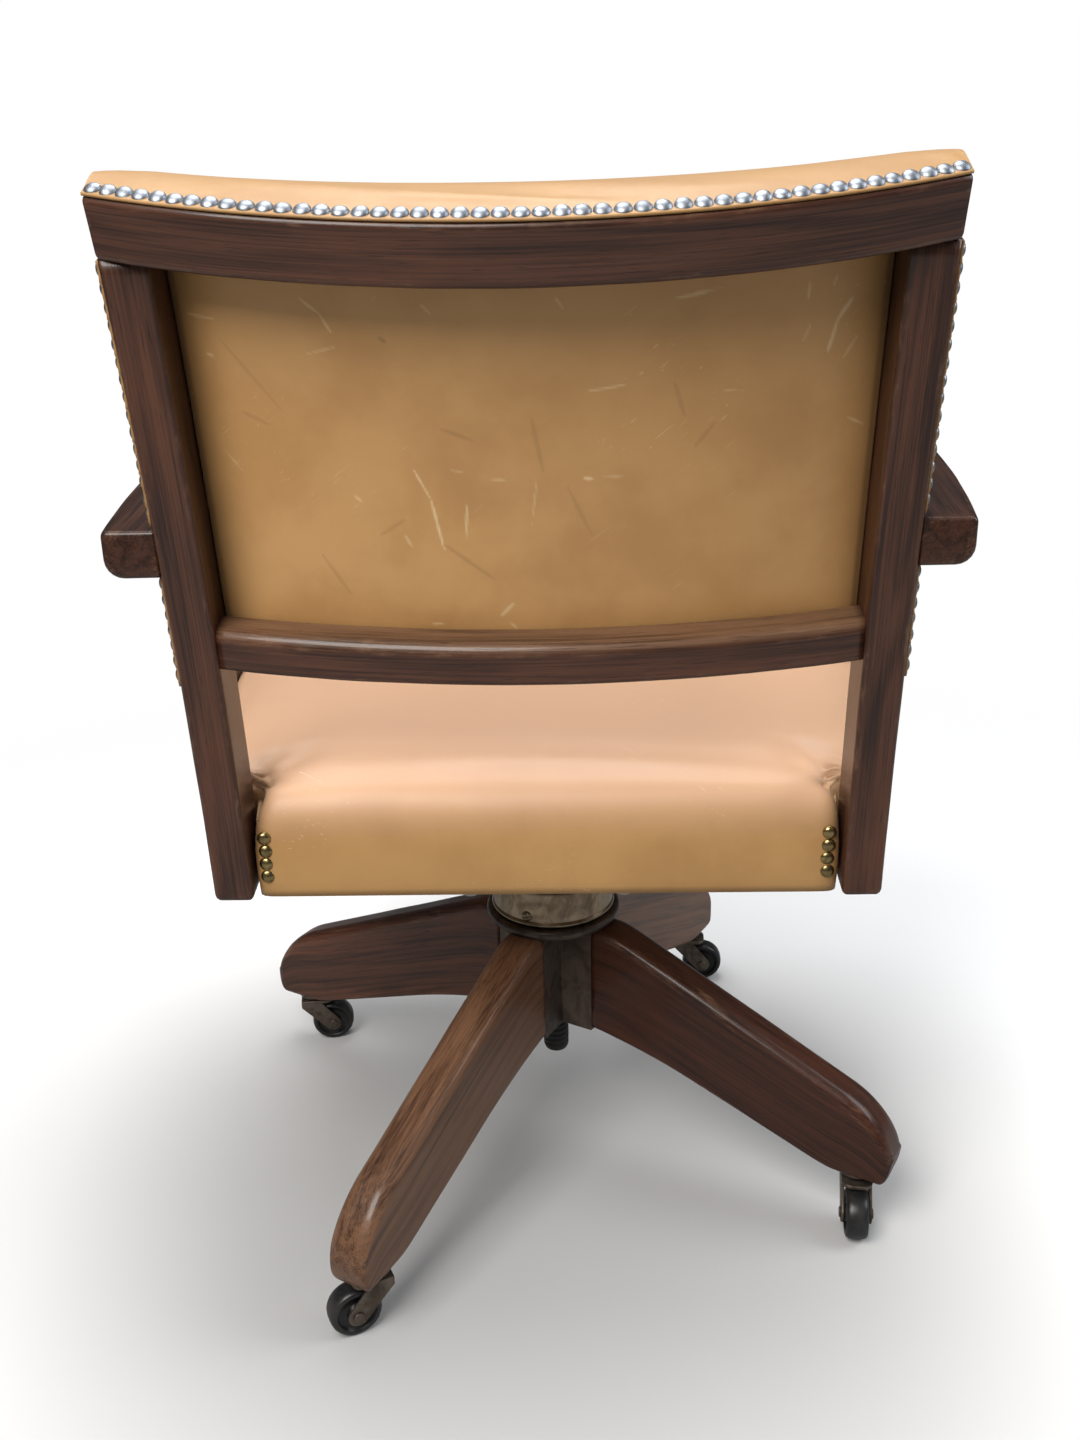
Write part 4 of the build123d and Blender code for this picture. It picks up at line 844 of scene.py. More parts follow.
drumScrewSpec = {"radius": 0.0549, "z": 0.256, "first": 65.3, "count": 3, "headRadius": 0.005,
                 "headHeight": 0.0028, "slotHalf": 0.0008, "slotDepth": 0.0014, "spin": 0.35}
screwPlaces = []
for i in range(drumScrewSpec["count"]):
    outward = around(drumScrewSpec["first"] + 360 / drumScrewSpec["count"] * i)
    place = outward * drumScrewSpec["radius"] + Vector((0, 0, drumScrewSpec["z"]))
    screwPlaces.append(facing(place, outward, drumScrewSpec["spin"] + i))
scattered("drumScrewHeads", screwHead(drumScrewSpec), screwPlaces, "nut", drumBronze, "steel", "drum_screws")


spindleSpec = {"foot": 0.085, "top": 0.332, "radius": 0.012, "pitch": 0.0055, "depth": 0.0012, "perTurn": 8,
               "columns": 48, "plainFoot": 0.012, "plainTop": 0.045, "tip": 0.007, "tipRadius": 0.72,
               "grooveFrom": 0.5, "grooveTo": 0.95, "threadFrom": 0.6}


def makeSpindle():
    # square-cut height thread, plain at both ends
    spec = spindleSpec
    foot, top, columns = spec["foot"], spec["top"], spec["columns"]
    rows = int((top - foot) / spec["pitch"] * spec["perTurn"])
    points = []
    for i in range(rows + 1):
        z = foot + (top - foot) * i / rows
        fade = min((z - foot) / spec["plainFoot"], (top - z) / spec["plainTop"], 1.0)
        depth = spec["depth"] if fade > spec["threadFrom"] else 0.0
        tip = min((z - foot) / spec["tip"], 1.0)
        taper = spec["tipRadius"] + (1 - spec["tipRadius"]) * math.sqrt(max(1 - (1 - tip) ** 2, 0.0))
        for j in range(columns):
            angle = 2 * math.pi * j / columns
            phase = (z / spec["pitch"] - j / columns) % 1.0
            groove = depth if spec["grooveFrom"] < phase < spec["grooveTo"] else 0.0
            radius = (spec["radius"] - groove) * taper
            points.append(Vector((radius * math.cos(angle), radius * math.sin(angle), z)))
    faces = gridFaces(rows + 1, columns, True)
    faces.append(tuple(range(columns)))
    faces.append(tuple(rows * columns + j for j in range(columns)))
    mesh = meshFrom("threadedSpindle", points, faces)
    newPiece("threadedSpindle", mesh, "spindle", blackIron, "steel", "spindle")


makeSpindle()


# Casters

wheelSpec = {"profile": [(3.1, 10.3), (6.4, 10.3), (7.2, 9.6), (7.6, 6.2), (8.4, 5.4), (14.6, 5.4),
                         (15.8, 6), (16.4, 8.9), (17.2, 9.5), (18.8, 9.5), (20.4, 8.7), (21.4, 6.8),
                         (21.9, 4), (22, 0)]}
casterSpec = {"stemRadius": 0.303, "trail": 0.018, "axleZ": 0.022, "headings": (26.0, 84.0, 177.0, 189.0),
              "segments": 72, "forkArris": 0.0007, "axleArris": 0.0005, "socketArris": 0.0006,
              "hubArris": 0.0014}


def makeCaster(index):
    name = legNames[index]
    trail = around(casterSpec["headings"][index])
    axle = around(legSpec["turn"] + 90 * index) * casterSpec["stemRadius"] + trail * casterSpec["trail"]
    axle.z = casterSpec["axleZ"]
    half = wheelSpec["profile"]
    profile = half + [(r, -w) for r, w in reversed(half[:-1])] + [half[0]]
    points, faces = lathe([(r * mm, w * mm) for r, w in profile], casterSpec["segments"])
    matrix = facing(axle, Vector((trail.y, -trail.x, 0)))
    mesh = meshFrom(f"wheel_{name}", [matrix @ p for p in points], faces)
    node = f"caster_wheel_{name}"
    weldSeam(newPiece(f"wheel_{name}Tyre", mesh, f"wheel_{name}", wheelBlack, "wheel_black", node))
    for part in ("fork", "axle", "socket"):
        softenedCopy(f"caster_{part}_{name}", forkSteel, "caster_steel", casterSpec[part + "Arris"])


for casterIndex in range(4):
    makeCaster(casterIndex)
softenedCopy("hub_casting", cheekMetal, "hub_iron", casterSpec["hubArris"])
print("base and casters made")


# Tilt mechanism under the seat

# finish, slot, width of the broken arris and its segments
tiltSpec = {"tilt_housing": (blackIron, "black_iron", 0.0022, 3),
            "tilt_yoke": (blackIron, "black_iron", 0.0014),
            "seat_iron_left": (blackIron, "black_iron", 0.0012),
            "seat_iron_right": (blackIron, "black_iron", 0.0012), "tilt_axle": (plainSteel, "steel", 0.0008),
            "tension_knob": (wheelBlack, "knob_black", 0.0016, 3),
            "tilt_spring": (plainSteel, "steel", 0.0002)}
tiltPieces = {node: softenedCopy(node, *spec) for node, spec in tiltSpec.items()}
springPiece = tiltPieces["tilt_spring"]
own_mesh(springPiece)

plainOakNodes = ("seat_front_rail", "seat_rear_rail", "seat_side_rail_left", "seat_side_rail_right",
                 "seat_board", "back_board")
plainSteelNodes = ("height_nut", "thrust_washer", "leg_screws", "iron_screws")
for finish, nodes in ((plainSteel, plainSteelNodes), (plainOak, plainOakNodes), (dustCloth, ("dust_cover",))):
    for node in nodes:
        frame["nodes"][node].data.materials.clear()
        frame["nodes"][node].data.materials.append(finish)


boltSpec = {"postY": 0.185, "propY": -0.064, "postX": 0.255, "propX": 0.31434, "heights": (0.384, 0.41),
            "headRadius": 0.009, "headHeight": 0.0042, "slotHalf": 0.0011, "slotDepth": 0.0016, "spin": 0.4,
            "spinByHeight": 7}
boltPlaces = []
for side in (-1, 1):
    for kind in ("post", "prop"):
        for z in boltSpec["heights"]:
            place = Vector((side * boltSpec[kind + "X"], boltSpec[kind + "Y"], z))
            spin = boltSpec["spin"] + boltSpec["spinByHeight"] * z
            boltPlaces.append(facing(place, Vector((side, 0, 0)), spin))
scattered("frameBoltHeads", screwHead(boltSpec), boltPlaces, "seat", darkBronze, "steel", "frame_bolts")


# Nails

nailSpec = {"radius": 0.0054, "height": 0.0032, "pitch": 0.011, "inset": 0.0065, "hideEdge": 0.0015,
            "sideEdge": 0.007, "sideFoot": 0.541, "armFoot": 0.627, "armTop": 0.66, "clear": 0.002,
            "lean": 0.12, "seed": 4, "skirt": 0.0004, "rim": 0.0001, "crown": 0.00005, "crestTurn": 0.25,
            "sideTurn": 0.12}


def nailShape(rings=7, segments=22):
    radius = nailSpec["radius"]
    profile = [(radius, -nailSpec["skirt"]), (radius, nailSpec["rim"])]
    for i in range(1, rings + 1):
        angle = math.pi / 2 * i / rings
        profile.append((max(radius * math.cos(angle), nailSpec["crown"]),
                        nailSpec["height"] * math.sin(angle)))
    return lathe(profile, segments)


def leaning(direction, dice):
    tilt = Vector((dice.uniform(-1, 1), dice.uniform(-1, 1), dice.uniform(-1, 1)))
    return (direction + tilt * nailSpec["lean"]).normalized()


def crestNails():
    dice = random.Random(nailSpec["seed"])
    origin, backward, upward = backFrame(back["crestZ"], back["crestLean"])
    half, bow = back["outer"], back["crestBow"]
    radius = (half * half + bow * bow) / (2 * bow) - nailSpec["hideEdge"] - nailSpec["inset"]
    centre = bow - nailSpec["hideEdge"] - nailSpec["inset"] - radius
    swing = math.asin((half - nailSpec["inset"]) / radius)
    count = int(2 * radius * swing / nailSpec["pitch"]) + 1
    places = []
    for i in range(count):
        turn = swing * (2 * i / (count - 1) - 1)
        place = origin + backward * (centre + radius * math.cos(turn))
        place.x = radius * math.sin(turn)
        place += upward * (back["crestHeight"] + back["hideThick"] + nailSpec["rim"])
        places.append(facing(place, leaning(upward + backward * nailSpec["crestTurn"], dice)))
    return places


def sideNails():
    dice = random.Random(nailSpec["seed"] + 1)
    runs = ((nailSpec["sideFoot"], nailSpec["armFoot"] - nailSpec["clear"]),
            (nailSpec["armTop"] + nailSpec["clear"], back["crestZ"] - nailSpec["clear"]))
    places = []
    for side in (-1, 1):
        for low, high in runs:
            room = high - low - 2 * nailSpec["inset"]
            count = int(room / nailSpec["pitch"]) + 1
            for i in range(count):
                rear, backward, _ = backFrame(low + nailSpec["inset"] + room * i / (count - 1))
                place = rear - backward * (nailSpec["sideEdge"] + nailSpec["inset"])
                place.x = side * (back["outer"] + back["hideThick"] + nailSpec["rim"])
                places.append(facing(place, leaning(Vector((side, nailSpec["sideTurn"], 0)), dice)))
    return places


scattered("crestNailHeads", nailShape(), crestNails(), "seat", nickel, "nickel", "crest_nails")
scattered("sideNailHeads", nailShape(), sideNails(), "seat", nickel, "nickel", "side_nails")

seatNailSpec = {"x": 0.214, "firstZ": 0.3785, "pitch": 0.0107, "count": 4, "y": 0.2022, "stray": 0.0006,
                "seed": 9}
seatNailPlaces = []
seatDice = random.Random(seatNailSpec["seed"])
for side in (-1, 1):
    for i in range(seatNailSpec["count"]):
        x = seatNailSpec["x"] + seatDice.uniform(-seatNailSpec["stray"], seatNailSpec["stray"])
        place = Vector((side * x, seatNailSpec["y"], seatNailSpec["firstZ"] + i * seatNailSpec["pitch"]))
        seatNailPlaces.append(facing(place, leaning(Vector((0, 1, 0)), seatDice)))
scattered("seatNailHeads", nailShape(), seatNailPlaces, "seat", agedBrass, "nail_brass", "seat_nails")
print("fasteners made")


# Soft goods

clothSpec = {"quality": 5, "mass": 0.4, "tension_stiffness": 40, "compression_stiffness": 40,
             "shear_stiffness": 12, "bending_stiffness": 4, "use_pressure": True,
             "uniform_pressure_force": 4.0}
swellSpec = {"frames": 20, "smoothing": 4, "smoothShare": 0.5}


def swellBy(piece, pinned, cap):
    # blows the cover up like a stuffed skin, keeping the pinned points where they are tacked
    rest = [v.co.copy() for v in piece.data.vertices]
    group = piece.vertex_groups.new(name="tacked")
    for index, weight in enumerate(pinned):
        if weight > 0:
            group.add([index], weight, "REPLACE")
    cloth = piece.modifiers.new("stuffing", "CLOTH")
    for key, value in clothSpec.items():
        setattr(cloth.settings, key, value)
    cloth.settings.vertex_group_mass = group.name
    cloth.settings.effector_weights.gravity = 0
    cloth.collision_settings.use_collision = False
    cloth.point_cache.frame_start = 1
    cloth.point_cache.frame_end = swellSpec["frames"]
    scene = bpy.context.scene
    for number in range(1, swellSpec["frames"] + 1):
        scene.frame_set(number)
    shaped = piece.evaluated_get(bpy.context.evaluated_depsgraph_get())
    moved = [v.co.copy() for v in shaped.data.vertices]
    piece.modifiers.remove(cloth)
    piece.vertex_groups.remove(group)
    normals = [v.normal.copy() for v in piece.data.vertices]
    for vertex, start, end, normal in zip(piece.data.vertices, rest, moved, normals):
        vertex.co = start + normal * min(max((end - start).dot(normal), 0.0), cap)
    work = bmesh.new()
    work.from_mesh(piece.data)
    work.verts.ensure_lookup_table()
    loose = [work.verts[i] for i, weight in enumerate(pinned) if weight == 0]
    allAxes = {"use_axis_x": True, "use_axis_y": True, "use_axis_z": True}
    for _ in range(swellSpec["smoothing"]):
        bmesh.ops.smooth_vert(work, verts=loose, factor=swellSpec["smoothShare"], **allAxes)
    work.to_mesh(piece.data)
    work.free()
    scene.frame_set(1)


def bell(value, middle, width):
    return math.exp(-((value - middle) / width) ** 2)


seatSpec = {"footZ": 0.3606, "rearY": 0.2034, "frontY": -0.2345, "rearHalf": 0.2595, "frontHalf": 0.308,
            "bow": 0.012, "draw": -0.004, "postX": 0.2243, "notchY": 0.1646, "crownZ": 0.4655,
            "crownY": -0.03, "sideRadius": 4.5, "rearRadius": 1.6, "frontRadius": 2.2, "rearRoll": 0.036,
            "sideRoll": 0.018, "rearFace": 0.05, "sideFace": 0.074, "corner": 0.042, "cornerBow": 0.32,
            "notchRun": 0.01, "sideSteps": 24, "cornerSteps": 12, "frontSteps": 20, "roundings": 3,
            "step": 0.0055, "centreY": -0.02, "topRings": 34, "rollRings": 15, "skirtRings": 9,
            "swell": 0.004, "rearFrom": 0.15, "rearTo": 0.195, "belly": 0.0012, "inset": 0.0015,
            "rollPower": 0.85, "tackedTo": 0.3, "propGap": 0.0006, "propRoom": 0.05, "propNear": 0.0225,
            "propFar": 0.06}


def seatHalf(y):
    share = (seatSpec["rearY"] - y) / (seatSpec["rearY"] - seatSpec["frontY"])
    width = seatSpec["rearHalf"] + (seatSpec["frontHalf"] - seatSpec["rearHalf"]) * share
    return width - 4 * seatSpec["draw"] * share * (1 - share)


def seatOutline():
    # plan of the seat, notched for the posts, as evenly spaced points
    cornerY = seatSpec["frontY"] + seatSpec["bow"]
    half = [(0.0, seatSpec["rearY"]), (seatSpec["postX"], seatSpec["rearY"]),
            (seatSpec["postX"], seatSpec["notchY"]), (seatHalf(seatSpec["notchY"]), seatSpec["notchY"])]
    sideY = spread(seatSpec["notchY"] - seatSpec["notchRun"], cornerY + seatSpec["corner"],
                   seatSpec["sideSteps"])
    half += [(seatHalf(y), y) for y in sideY]
    startX, startY = half[-1]
    endX = seatSpec["frontHalf"] - seatSpec["corner"]
    endY = cornerY - seatSpec["bow"] * seatSpec["cornerBow"]
    for i in range(1, seatSpec["cornerSteps"] + 1):
        t = i / seatSpec["cornerSteps"]
        x = (1 - t) ** 2 * startX + 2 * t * (1 - t) * seatSpec["frontHalf"] + t * t * endX
        half.append((x, (1 - t) ** 2 * startY + 2 * t * (1 - t) * cornerY + t * t * endY))
    for i in range(1, seatSpec["frontSteps"] + 1):
        share = 1 - i / seatSpec["frontSteps"]
        half.append((endX * share, seatSpec["frontY"] + (endY - seatSpec["frontY"]) * share ** 2))
    whole = half + [(-x, y) for x, y in reversed(half[1:-1])]
    loop = [Vector((x, y, 0)) for x, y in whole]
    lengths = [(loop[(i + 1) % len(loop)] - loop[i]).length for i in range(len(loop))]
    count = int(sum(lengths) / seatSpec["step"])
    spaced, travelled, index = [], 0.0, 0
    for i in range(count):
        goal = sum(lengths) * i / count
        while travelled + lengths[index] < goal:
            travelled += lengths[index]
            index += 1
        spaced.append(loop[index].lerp(loop[(index + 1) % len(loop)], (goal - travelled) / lengths[index]))
    for _ in range(seatSpec["roundings"]):
        spaced = [(spaced[i - 1] + 2 * spaced[i] + spaced[(i + 1) % count]) / 4 for i in range(count)]
    return spaced


def seatTop(x, y):
    along = y - seatSpec["crownY"]
    radius = seatSpec["rearRadius"] if along > 0 else seatSpec["frontRadius"]
    return seatSpec["crownZ"] - x * x / (2 * seatSpec["sideRadius"]) - along * along / (2 * radius)


foldSpec = {"rightFrom": -0.1, "rightTo": 0.17, "valley": -0.0022, "valleyLeast": 0.35, "valleyIn": 0.064,
            "valleyTurn": 0.02, "valleyWidth": 0.014, "valleyLow": 0.425, "valleyHigh": 0.445,
            "pinch": 0.0075, "pinchReach": 0.017, "fan": 0.0032, "fanReach": 0.024, "fanCount": 7.0,
            "fanTurn": 1.3, "fanLow": 0.4, "fanHigh": 0.43, "wave": 0.0011, "waveX": 11, "waveY": 15,
            "waveSeed": 3.1, "waveLow": 0.42, "waveHigh": 0.45}


def seatFolds(point):
    # the roll's soft valley along the rear, and the leather pinched in beside the posts
    spec = foldSpec
    right = smoothStep(-point.x, spec["rightFrom"], spec["rightTo"])
    depth = spec["valley"] * (spec["valleyLeast"] + (1 - spec["valleyLeast"]) * right)
    middle = spec["valleyIn"] - spec["valleyTurn"] * right
    valley = depth * bell(seatSpec["rearY"] - point.y, middle, spec["valleyWidth"])
    valley *= smoothStep(point.z, spec["valleyLow"], spec["valleyHigh"])
    pinch = 0.0
    for side in (-1, 1):
        across = side * seatSpec["postX"] - point.x
        along = point.y - seatSpec["notchY"]
        reach = math.hypot(across, along)
        angle = math.atan2(along, abs(across) + 1e-6)
        fan = spec["fan"] * math.exp(-reach / spec["fanReach"])
        fan *= smoothStep(point.z, spec["fanLow"], spec["fanHigh"])
        pinch -= spec["pinch"] * bell(reach, 0.0, spec["pinchReach"])
        pinch += fan * math.sin(angle * spec["fanCount"] + spec["fanTurn"] * side)
    spot = Vector((point.x * spec["waveX"], point.y * spec["waveY"], spec["waveSeed"]))
    waves = spec["wave"] * noise.noise(spot) * smoothStep(point.z, spec["waveLow"], spec["waveHigh"])
    return valley + pinch + waves


def seatPoint(rim, kind, share):
    # a point of the cover above the line from the rim to the seat's middle
    spec = seatSpec
    ray = Vector((0, spec["centreY"], 0)) - rim
    inward = ray.normalized()
    rearness = smoothStep(rim.y, spec["rearFrom"], spec["rearTo"])
    rollIn = spec["sideRoll"] + (spec["rearRoll"] - spec["sideRoll"]) * rearness
    face = spec["sideFace"] + (spec["rearFace"] - spec["sideFace"]) * rearness
    if kind == "skirt":
        point = rim - inward * (spec["belly"] * math.sin(math.pi * share) - spec["inset"])
        point.z = spec["footZ"] + face * share
        return point
    run, lift = rollIn + (ray.length - rollIn) * share, 1.0
    if kind == "roll":
        turn = math.pi / 2 * share
        run = rollIn * (1 - max(math.cos(turn), 0.0) ** spec["rollPower"])
        lift = math.sin(turn) ** spec["rollPower"]
    point = rim + inward * (run + spec["inset"])
    faceZ = spec["footZ"] + face
    point.z = faceZ + (seatTop(point.x, point.y) - faceZ) * lift
    return point


seatFadeAndShade = {"fadeAndLightLow": 0.4, "fadeAndLightHigh": 0.455, "paintedShade": 0.5, "shadeX": 0.205, "shadeRun": 0.02,
            "shadeFrom": 0.13, "shadeTo": 0.19, "footShade": 0.18, "footZ": 0.375, "footRun": 0.013}


def makeSeat():
    outline = seatOutline()
    count = len(outline)
    points, pinned = [], []
    rings = [("skirt", i / (seatSpec["skirtRings"] - 1)) for i in range(seatSpec["skirtRings"])]
    rings += [("roll", i / seatSpec["rollRings"]) for i in range(1, seatSpec["rollRings"] + 1)]
    rings += [("top", i / seatSpec["topRings"]) for i in range(1, seatSpec["topRings"])]
    for kind, share in rings:
        points += [seatPoint(rim, kind, share) for rim in outline]
        tack = 1 - smoothStep(share, seatSpec["tackedTo"], 1.0) if kind == "skirt" else 0.0
        pinned += [tack] * count
    faces = gridFaces(len(rings), count, True)
    points.append(Vector((0, seatSpec["centreY"], seatTop(0, seatSpec["centreY"]))))
    pinned.append(0.0)
    last = (len(rings) - 1) * count
    faces += [(last + j, last + (j + 1) % count, len(points) - 1) for j in range(count)]
    points.append(Vector((0, seatSpec["centreY"], seatSpec["footZ"])))
    pinned.append(1.0)
    faces += [((j + 1) % count, j, len(points) - 1) for j in range(count)]
    mesh = meshFrom("seatHideCover", points, faces)
    seat = newPiece("seatHideCover", mesh, "seat", seatHide, "seat_leather", "seat_cushion")
    swellBy(seat, pinned, seatSpec["swell"])
    normals = [v.normal.copy() for v in seat.data.vertices]
    inner = propSpec["x"] - propSpec["width"] / 2 - seatSpec["propGap"]
    for vertex, normal in zip(seat.data.vertices, normals):
        vertex.co += normal * seatFolds(vertex.co)
        beside = smoothStep(abs(vertex.co.y - propSpec["y"]), seatSpec["propNear"], seatSpec["propFar"])
        room = inner + seatSpec["propRoom"] * beside
        vertex.co.x = min(max(vertex.co.x, -room), room)
    fade, shade = [], []
    for vertex in seat.data.vertices:
        x, y, z = vertex.co
        # paler towards the top: faded leather and painted light
        fade.append(smoothStep(z, seatFadeAndShade["fadeAndLightLow"], seatFadeAndShade["fadeAndLightHigh"]))
        # painted shade beside the posts at the rear and along the foot of the cover
        paintedShade = seatFadeAndShade["paintedShade"] * smoothStep(abs(x) - seatFadeAndShade["shadeX"], 0, seatFadeAndShade["shadeRun"])
        paintedShade *= smoothStep(y, seatFadeAndShade["shadeFrom"], seatFadeAndShade["shadeTo"])
        shade.append(paintedShade + seatFadeAndShade["footShade"] * smoothStep(seatFadeAndShade["footZ"] - z, 0, seatFadeAndShade["footRun"]))
    setLayer(seat.data, "fade", fade)
    setLayer(seat.data, "shade", shade)


makeSeat()
print("seat made")


cushionSpec = {"half": 0.2546, "stations": 104, "footZ": 0.5425, "topZ": 0.862, "rearTop": 0.846,
               "edge": 0.017, "middle": 0.042, "rearGap": 0.0446, "rearHalf": 0.2246, "wrapInset": 0.0015,
               "topSwell": 0.0012, "topPower": 1.6, "topRun": 0.027, "frontRows": 40, "rearRows": 26,
               "topRows": 16, "bendRows": 9, "bend": 0.5, "cap": 0.003, "lip": 0.0006, "lipDepth": 0.0286,
               "lipShares": (0.1, 0.4, 0.7, 1.0), "tacked": 0.3, "footUnder": 0.012, "footRun": 0.06,
               "footPower": 0.6, "footGap": 0.0002, "endRun": 0.014, "endRadius": 0.0145, "endLeast": 0.02,
               "fade": 0.25, "fadeAndLightLow": 0.86, "fadeAndLightHigh": 0.885}


def cushionThickness(x, z):
    spec = cushionSpec
    across = max(1 - (x / spec["half"]) ** 2, 0.0)
    body = spec["edge"] + (spec["middle"] - spec["edge"]) * across
    low = smoothStep(z, spec["footZ"] - spec["footUnder"], spec["footZ"] + spec["footRun"])
    over = max(abs(x) - spec["half"] + spec["endRun"], 0.0) / spec["endRadius"]
    return body * low ** spec["footPower"] * math.sqrt(max(1 - over ** 2, spec["endLeast"]))


def cushionPlace(x, z, thickness):
    rear, backward, _ = backFrame(z)
    bow = arcBow(min(abs(x), cushionSpec["rearHalf"]), cushionSpec["rearHalf"], panelBowAt(z))
    return rear + backward * (bow - cushionSpec["rearGap"] - thickness) + Vector((x, 0, 0))


def cushionSection(x):
    # the cover's outline at one place across the back: over the crest, down the front, up behind
    spec = cushionSpec
    crest, crestBack, crestUp = backFrame(back["crestZ"], back["crestLean"])
    crest.x = x
    bow = arcBow(x, back["outer"], back["crestBow"])
    section, tacked = [], []
    for share in spread(0.0, 1.0, spec["topRows"]):
        depth = bow - spec["wrapInset"] - share * spec["topRun"]
        swell = spec["topSwell"] * math.sin(math.pi / 2 * share) ** spec["topPower"]
        rise = back["crestHeight"] + back["hideThick"] + swell
        section.append(crest + crestBack * depth + crestUp * rise)
        tacked.append(1.0 if share < spec["tacked"] else 0.0)
    front = cushionPlace(x, spec["topZ"], cushionThickness(x, spec["topZ"]))
    start = section[-1]
    corner = start + (start - section[-2]).normalized() * (start - front).length * spec["bend"]
    for i in range(1, spec["bendRows"]):
        t = i / spec["bendRows"]
        section.append(start * (1 - t) ** 2 + corner * (2 * t * (1 - t)) + front * t * t)
    for z in spread(spec["topZ"], spec["footZ"], spec["frontRows"]):
        section.append(cushionPlace(x, z, cushionThickness(x, z)))
    tacked += [0.0] * (len(section) - len(tacked))
    for z in spread(spec["footZ"] - spec["footGap"], spec["rearTop"], spec["rearRows"]):
        section.append(cushionPlace(x, z, 0.0))
    for share in spec["lipShares"]:
        depth = bow - spec["lipDepth"] + share * (spec["lipDepth"] - spec["wrapInset"])
        section.append(crest + crestBack * depth + crestUp * (back["crestHeight"] + spec["lip"]))
    tacked += [1.0] * (len(section) - len(tacked))
    return section, tacked


def makeBackCushion():
    points, pinned = [], []
    shares = spread(-1, 1, cushionSpec["stations"])
    stations = [cushionSpec["half"] * math.sin(math.pi / 2 * t) for t in shares]
    for x in stations:
        section, tacked = cushionSection(x)
        points += section
        pinned += tacked
    count = len(points) // len(stations)
    faces = gridFaces(len(stations), count, True)
    for row in (0, len(stations) - 1):
        faces.append(tuple(row * count + j for j in range(count)))
    mesh = meshFrom("backHideCover", points, faces)
    cover = newPiece("backHideCover", mesh, "seat", backHide, "back_leather", "back_cushion", "crest_leather")
    swellBy(cover, pinned, cushionSpec["cap"])
    # the top over the crest paler: faded leather and painted light
    low, high = cushionSpec["fadeAndLightLow"], cushionSpec["fadeAndLightHigh"]
    fadedAndLit = [cushionSpec["fade"] * smoothStep(v.co.z, low, high) for v in cover.data.vertices]
    setLayer(cover.data, "fade", fadedAndLit)


makeBackCushion()
print("back cushion made")


panelSpec = {"half": 0.2246, "foot": 0.5606, "top": 0.8655, "recess": 0.0346, "thick": 0.0026,
             "step": 0.0012, "wave": 0.0009, "freeRun": 0.05, "waveSeed": 1.7, "tuck": -0.002,
             "tuckRun": 0.006, "paintedShade": 0.75, "shadeFrom": -0.004, "shadeTo": 0.02, "dust": 0.35,
             "dustTo": 0.045, "firstY": 0.26, "tries": 6}


def panelPoint(x, z):
    rear, backward, _ = backFrame(z)
    depth = arcBow(x, panelSpec["half"], panelBowAt(z)) - panelSpec["recess"]
    return rear + backward * depth + Vector((x, 0, 0))


def panelSpot(pixel):
    # place on the panel, as (x, z), that a pixel of the photograph shows
    origin, sight = Vector(studio["cameraPlace"]), sightLine(pixel)
    place = origin + sight * (panelSpec["firstY"] - origin.y) / sight.y
    for _ in range(panelSpec["tries"]):
        height = place.z - (panelPoint(place.x, place.z).z - place.z)
        place = origin + sight * (panelPoint(place.x, height).y - origin.y) / sight.y
    return (place.x, place.z)


strokeSpec = {"reach": 1.3, "waver": 0.0004, "waverScale": 160, "waverSeed": 2.3, "endWidth": 0.35,
              "bulge": 2.6}


def paintStrokes(places, marks):
    # soft wavering lines on a surface: how strongly each place (x, z) is marked
    spec = strokeSpec
    values = [0.0] * len(places)
    for start, end, width, strength in marks:
        (x0, z0), (x1, z1) = panelSpot(start), panelSpot(end)
        runX, runZ = x1 - x0, z1 - z0
        reach = width * mm * spec["reach"]
        lowX, highX = min(x0, x1) - reach, max(x0, x1) + reach
        lowZ, highZ = min(z0, z1) - reach, max(z0, z1) + reach
        for index, (x, z) in enumerate(places):
            if not (lowX < x < highX and lowZ < z < highZ):
                continue
            share = ((x - x0) * runX + (z - z0) * runZ) / (runX * runX + runZ * runZ)
            share = min(max(share, 0.0), 1.0)
            spot = Vector((x * spec["waverScale"], z * spec["waverScale"], spec["waverSeed"]))
            away = math.hypot(x - x0 - runX * share, z - z0 - runZ * share)
            away += spec["waver"] * noise.noise(spot)
            taper = width * mm * (spec["endWidth"] + spec["bulge"] * share * (1 - share))
            values[index] = max(values[index], strength * (1 - smoothStep(abs(away), 0.0, taper)))
    return values


